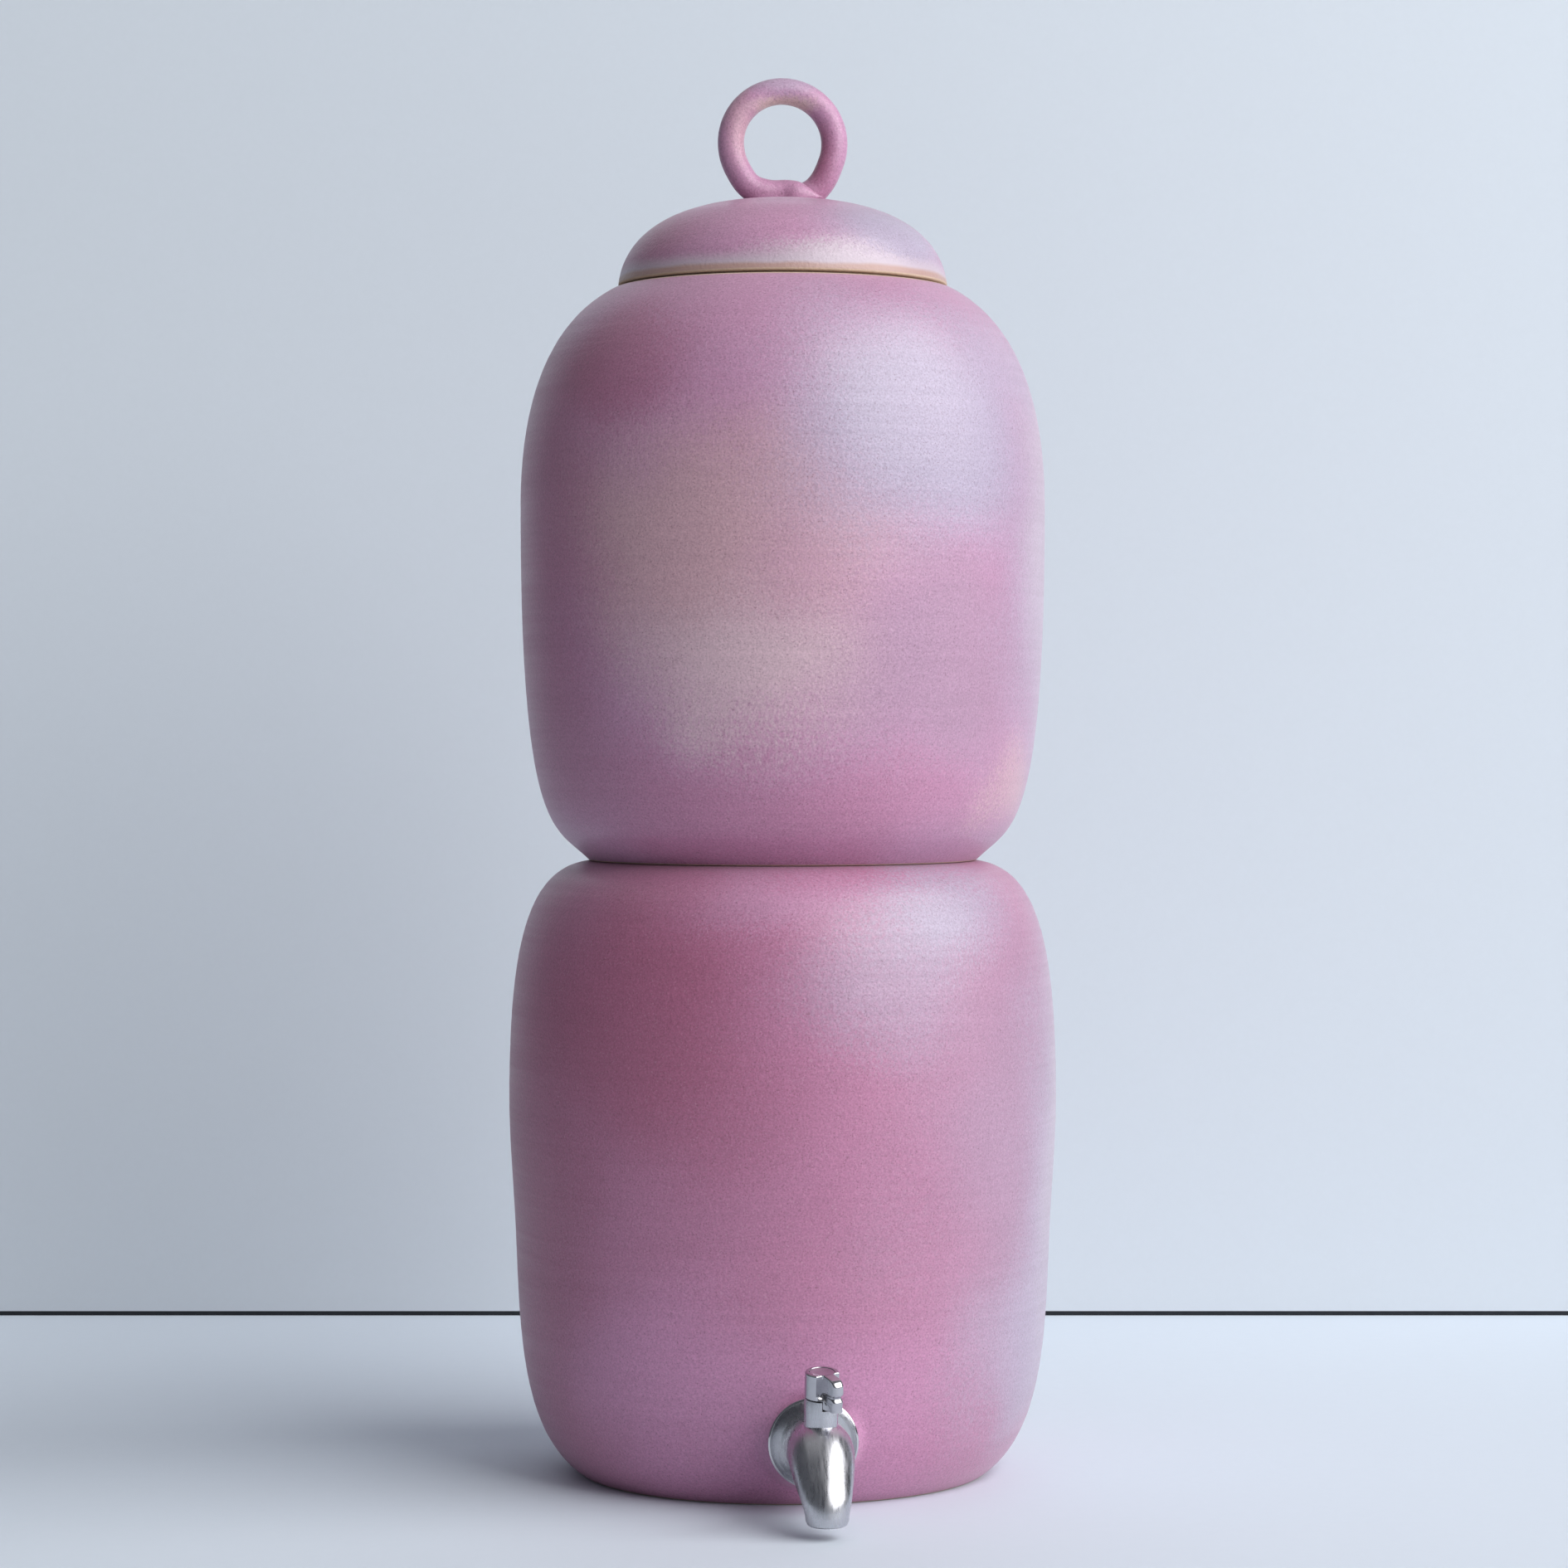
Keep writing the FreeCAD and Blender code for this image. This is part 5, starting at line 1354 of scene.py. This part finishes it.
class CLAYFILTER_OT_ring_handle(bpy.types.Operator):
    """Roll the coil of the ring handle and lay its tail over its foot"""
    bl_idname = "clayfilter.ring_handle"
    bl_label = "Ring handle"

    def execute(self, context):
        """Build the coil on the lid's dome, glaze it and let it stand for its solid."""
        scene = context.scene
        jar, lid = scene.filter_jars, scene.filter_lid
        points, marks = lid_outline(jar, lid)
        crown = jar.lower_height + jar.upper_height + lid.height
        coil = ring_coil(lid, crown + lid.rise, points[marks])
        glaze = satin_glaze(
            "ring_satin_glaze", scene.filter_colours, "mauve", RING_PATCHES, ripple=0.0, waver=0.12,
        )
        add_piece(
            "glazed_ring_handle", [skin(coil)], glaze, "cover", "ring_handle", crease=60,
        )
        return {"FINISHED"}


class CLAYFILTER_OT_tap(bpy.types.Operator):
    """Build the tap: flange, bend, valve neck, lever and cover disc"""
    bl_idname = "clayfilter.tap"
    bl_label = "Tap"

    def execute(self, context):
        """Build the tap's shown pieces in polished steel and let them stand for their solids."""
        tap = context.scene.filter_tap
        # Stainless steel, cast and buffed: mirror-like, with soft smears from the buffing wheel.
        polished = worked_steel(
            "buffed_stainless_steel", linear("#cbcbd0"), 0.3, 0.09, 0.045 * MM,
            (0.8 * MM, 6 * MM, 6 * MM),
        )
        # The flange was pressed and polished on a wheel: its mirror is clear.
        pressed = worked_steel(
            "wheel_polished_stainless_steel", linear("#cfcfd2"), 0.14, 0.04, 0.003 * MM, 2.2 * MM,
        )
        # The cap was turned on a lathe and only brushed, so its shine is broken up.
        turned_steel = worked_steel(
            "brushed_turned_stainless_steel", linear("#c4c3c8"), 0.2, 0.06, 0.006 * MM,
            (5 * MM, 5 * MM, 0.25 * MM),
        )
        bend = [skin(bent_spout(tap)), skin(valve_neck(tap)), skin(threaded_shank(tap))]
        flange = [skin(dished_flange(tap), looped=True)]
        lever = [skin(lever_cap(tap)), skin(lever_foot(tap))]
        for name, skins, body, node, material in (
            ("tap_bend_and_neck", bend, "stand", "tap_body", polished),
            ("dished_flange", flange, "stand", "tap_flange", pressed),
            ("tap_lever", lever, "tap_turn", "tap_handle", turned_steel),
            ("tap_cover_disc", [skin(dished_cover(tap))], "tap_turn", "handle_cover", turned_steel),
        ):
            add_piece(name, skins, material, body, node)
        return {"FINISHED"}


# Fittings that are shown as they are: material, tone, grain in millimetres, how much the tone
# varies, roughness, relief in millimetres, IOR and the pieces made of it.
PLAIN_FITTINGS = (
    # Chalky, off-white and slightly pitted.
    ("fired_diatomite", "#ece6d8", 0.9, 0.05, 0.9, 0.05, 1.5, ("candle_shell",)),
    # Nearly black, with grains that glint.
    ("pressed_carbon", "#26262a", 0.7, 0.3, 0.75, 0.12, 1.5, ("carbon_core",)),
    # Milky white with a faint spark-eroded grain.
    ("moulded_polypropylene", "#e9ebe9", 0.4, 0.02, 0.42, 0.01, 1.49, ("filter_base", "wing_nut")),
    # Milky grey, dull and smooth.
    ("moulded_silicone", "#d9d6cf", 1.2, 0.03, 0.55, 0.01, 1.41,
     ("floor_gasket", "under_gasket", "outer_washer", "inner_washer")),
    # Black with a dusty bloom.
    ("moulded_nitrile_rubber", "#1d1e20", 0.8, 0.15, 0.6, 0.01, 1.52,
     ("lower_o_ring", "upper_o_ring")),
    # Waxy white.
    ("turned_ptfe", "#f0f0ee", 0.5, 0.02, 0.5, 0.01, 1.35, ("seal_sleeve", "thrust_washer")),
)


class CLAYFILTER_OT_fittings(bpy.types.Operator):
    """Finish the fittings inside the jars and the tap"""
    bl_idname = "clayfilter.fittings"
    bl_label = "Fittings"

    def execute(self, context):
        """Give every solid that is shown as it is a material made for its stuff."""
        # Stainless steel, brushed round: dull level streaks.
        level = (8 * MM, 8 * MM, 0.3 * MM)
        brushed = worked_steel(
            "brushed_stainless_steel", linear("#bfc1c4"), 0.34, 0.08, 0.01 * MM, level,
        )
        finishes = [
            (brushed, ("steel_washer", "lock_nut", "valve_spindle", "retaining_clip", "handle_screw")),
        ]
        for stuff, tone, size, vary, roughness, relief, ior, names in PLAIN_FITTINGS:
            material = plain_stuff(stuff, linear(tone), size * MM, vary, roughness, relief * MM, ior)
            finishes.append((material, names))
        for material, names in finishes:
            for name in names:
                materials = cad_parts[name].data.materials
                materials.clear()
                materials.append(material)
        return {"FINISHED"}


def flat_panel(name, corners, material):
    """One flat face through its corners, as a part of the stage."""
    mesh = bpy.data.meshes.new(name)
    mesh.from_pydata(corners, [], [tuple(range(len(corners)))])
    add_object(name, mesh, material)


def one_sided(material):
    """Let light and sight through a panel from behind, so it never hides the object."""
    tree = material.node_tree
    output = next(node for node in tree.nodes if node.bl_idname == "ShaderNodeOutputMaterial")
    shader = output.inputs["Surface"].links[0].from_socket
    behind = add_node(tree, "NewGeometry").outputs["Backfacing"]
    clear = add_node(tree, "BsdfTransparent")
    mixed = add_node(tree, "MixShader", {0: behind, 1: shader, 2: clear})
    tree.links.new(mixed.outputs[0], output.inputs["Surface"])
    return material


def soft_lamp(name, aim, setting):
    """A large soft lamp that looks at the axis, at the aim's height, from its set place."""
    lamp = bpy.data.lights.new(name, "AREA")
    lamp.shape = "RECTANGLE"
    lamp.size = setting.width
    lamp.size_y = setting.height
    lamp.energy = setting.power
    item = bpy.data.objects.new(name, lamp)
    level = setting.distance * math.cos(setting.rise)
    away = Vector((
        level * math.sin(setting.bearing), -level * math.cos(setting.bearing),
        setting.distance * math.sin(setting.rise),
    ))
    item.location = Vector((0, 0, aim)) + away
    item.rotation_euler = (-away).to_track_quat("-Z", "Y").to_euler()
    item.visible_camera = False
    bpy.context.scene.collection.objects.link(item)


class CLAYFILTER_OT_studio(bpy.types.Operator):
    """Set up the pale floor and wall, the soft lamps and the camera"""
    bl_idname = "clayfilter.studio"
    bl_label = "Studio"

    def execute(self, context):
        """Build the stage, light it and place the camera."""
        scene = context.scene
        studio = scene.filter_studio
        bearing = studio.camera_turn
        across = Vector((math.cos(bearing), math.sin(bearing), 0))
        ahead = Vector((-math.sin(bearing), math.cos(bearing), 0))
        eye = Vector((0, 0, studio.camera_height)) - ahead * studio.camera_distance
        painted = plain_stuff("painted_table", studio.floor_colour, 3 * MM, 0.006, 0.7, 0.02 * MM)
        rim = [(studio.floor_radius * math.cos(angle), studio.floor_radius * math.sin(angle), 0)
               for angle in even_turns(ROUND_COLUMNS)]
        flat_panel("floor", rim, painted)
        board = one_sided(plain_stuff("painted_board", studio.wall_colour, 3 * MM, 0.006, 0.8, 0.02 * MM))
        shadow = one_sided(plain_stuff("shadow_gap", studio.gap_colour, 2 * MM, 0.05, 0.9, 0.02 * MM))
        foot = eye + ahead * studio.wall_distance
        foot.z = 0
        half = across * studio.wall_half_width
        gap = Vector((0, 0, studio.wall_gap))
        top = Vector((0, 0, studio.wall_height))
        for name, low, high, material in (
            ("wall", gap, top, board), ("wall_gap", gap * 0, gap, shadow),
        ):
            corners = [foot - half + low, foot + half + low, foot + half + high, foot - half + high]
            flat_panel(name, corners, material)
        # The fill and back lamps soften the window's shadows from the front and from behind.
        for name in LAMPS:
            soft_lamp(name, studio.lamp_aim, getattr(scene, "filter_" + name))
        world = bpy.data.worlds.new("even_light")
        world.use_nodes = True
        light = world.node_tree.nodes["Background"]
        light.inputs["Color"].default_value = opaque(studio.world_colour)
        light.inputs["Strength"].default_value = studio.world_level
        scene.world = world
        camera = bpy.data.objects.new("camera", bpy.data.cameras.new("camera"))
        camera.data.lens = studio.lens
        camera.data.sensor_width = SENSOR_WIDTH
        camera.location = eye
        level = math.pi / 2 - studio.camera_dip
        camera.rotation_euler = (level, 0, bearing - studio.camera_swing)
        scene.collection.objects.link(camera)
        scene.camera = camera
        scene.view_settings.view_transform = "Standard"
        return {"FINISHED"}


class CLAYFILTER_PT_panel(bpy.types.Panel):
    """Lists the steps that build the filter"""
    bl_idname = "CLAYFILTER_PT_panel"
    bl_label = "Clay water filter"
    bl_space_type = "VIEW_3D"
    bl_region_type = "UI"
    bl_category = "Clay filter"

    def draw(self, context):
        """List the operators, then the sizes and colours."""
        for step in OPERATORS:
            self.layout.operator(step.bl_idname)
        for name in GROUPS:
            group = getattr(context.scene, name)
            box = self.layout.box()
            for entry in group.bl_rna.properties:
                if not entry.is_readonly and entry.identifier != "name":
                    box.prop(group, entry.identifier)


OPERATORS = (
    CLAYFILTER_OT_studio,
    CLAYFILTER_OT_lower_jar,
    CLAYFILTER_OT_upper_jar,
    CLAYFILTER_OT_lid,
    CLAYFILTER_OT_ring_handle,
    CLAYFILTER_OT_tap,
    CLAYFILTER_OT_fittings,
)

GROUPS = {
    "filter_jars": JarSizes,
    "filter_lid": LidSizes,
    "filter_tap": TapSizes,
    "filter_colours": GlazeColours,
    "filter_studio": StudioSettings,
    **{"filter_" + name: group for name, group in LAMPS.items()},
}


def register():
    """Make the property groups, the operators and the panel known."""
    for name, group in GROUPS.items():
        bpy.utils.register_class(group)
        setattr(bpy.types.Scene, name, bpy.props.PointerProperty(type=group))
    for step in OPERATORS:
        bpy.utils.register_class(step)
    bpy.utils.register_class(CLAYFILTER_PT_panel)


def unregister():
    """Take the panel, the operators and the property groups away again."""
    bpy.utils.unregister_class(CLAYFILTER_PT_panel)
    for step in reversed(OPERATORS):
        bpy.utils.unregister_class(step)
    for name, group in reversed(GROUPS.items()):
        delattr(bpy.types.Scene, name)
        bpy.utils.unregister_class(group)


def main():
    """Build the filter step by step."""
    register()
    for step in OPERATORS:
        group, name = step.bl_idname.split(".")
        getattr(getattr(bpy.ops, group), name)()


if __name__ == "__main__":
    main()
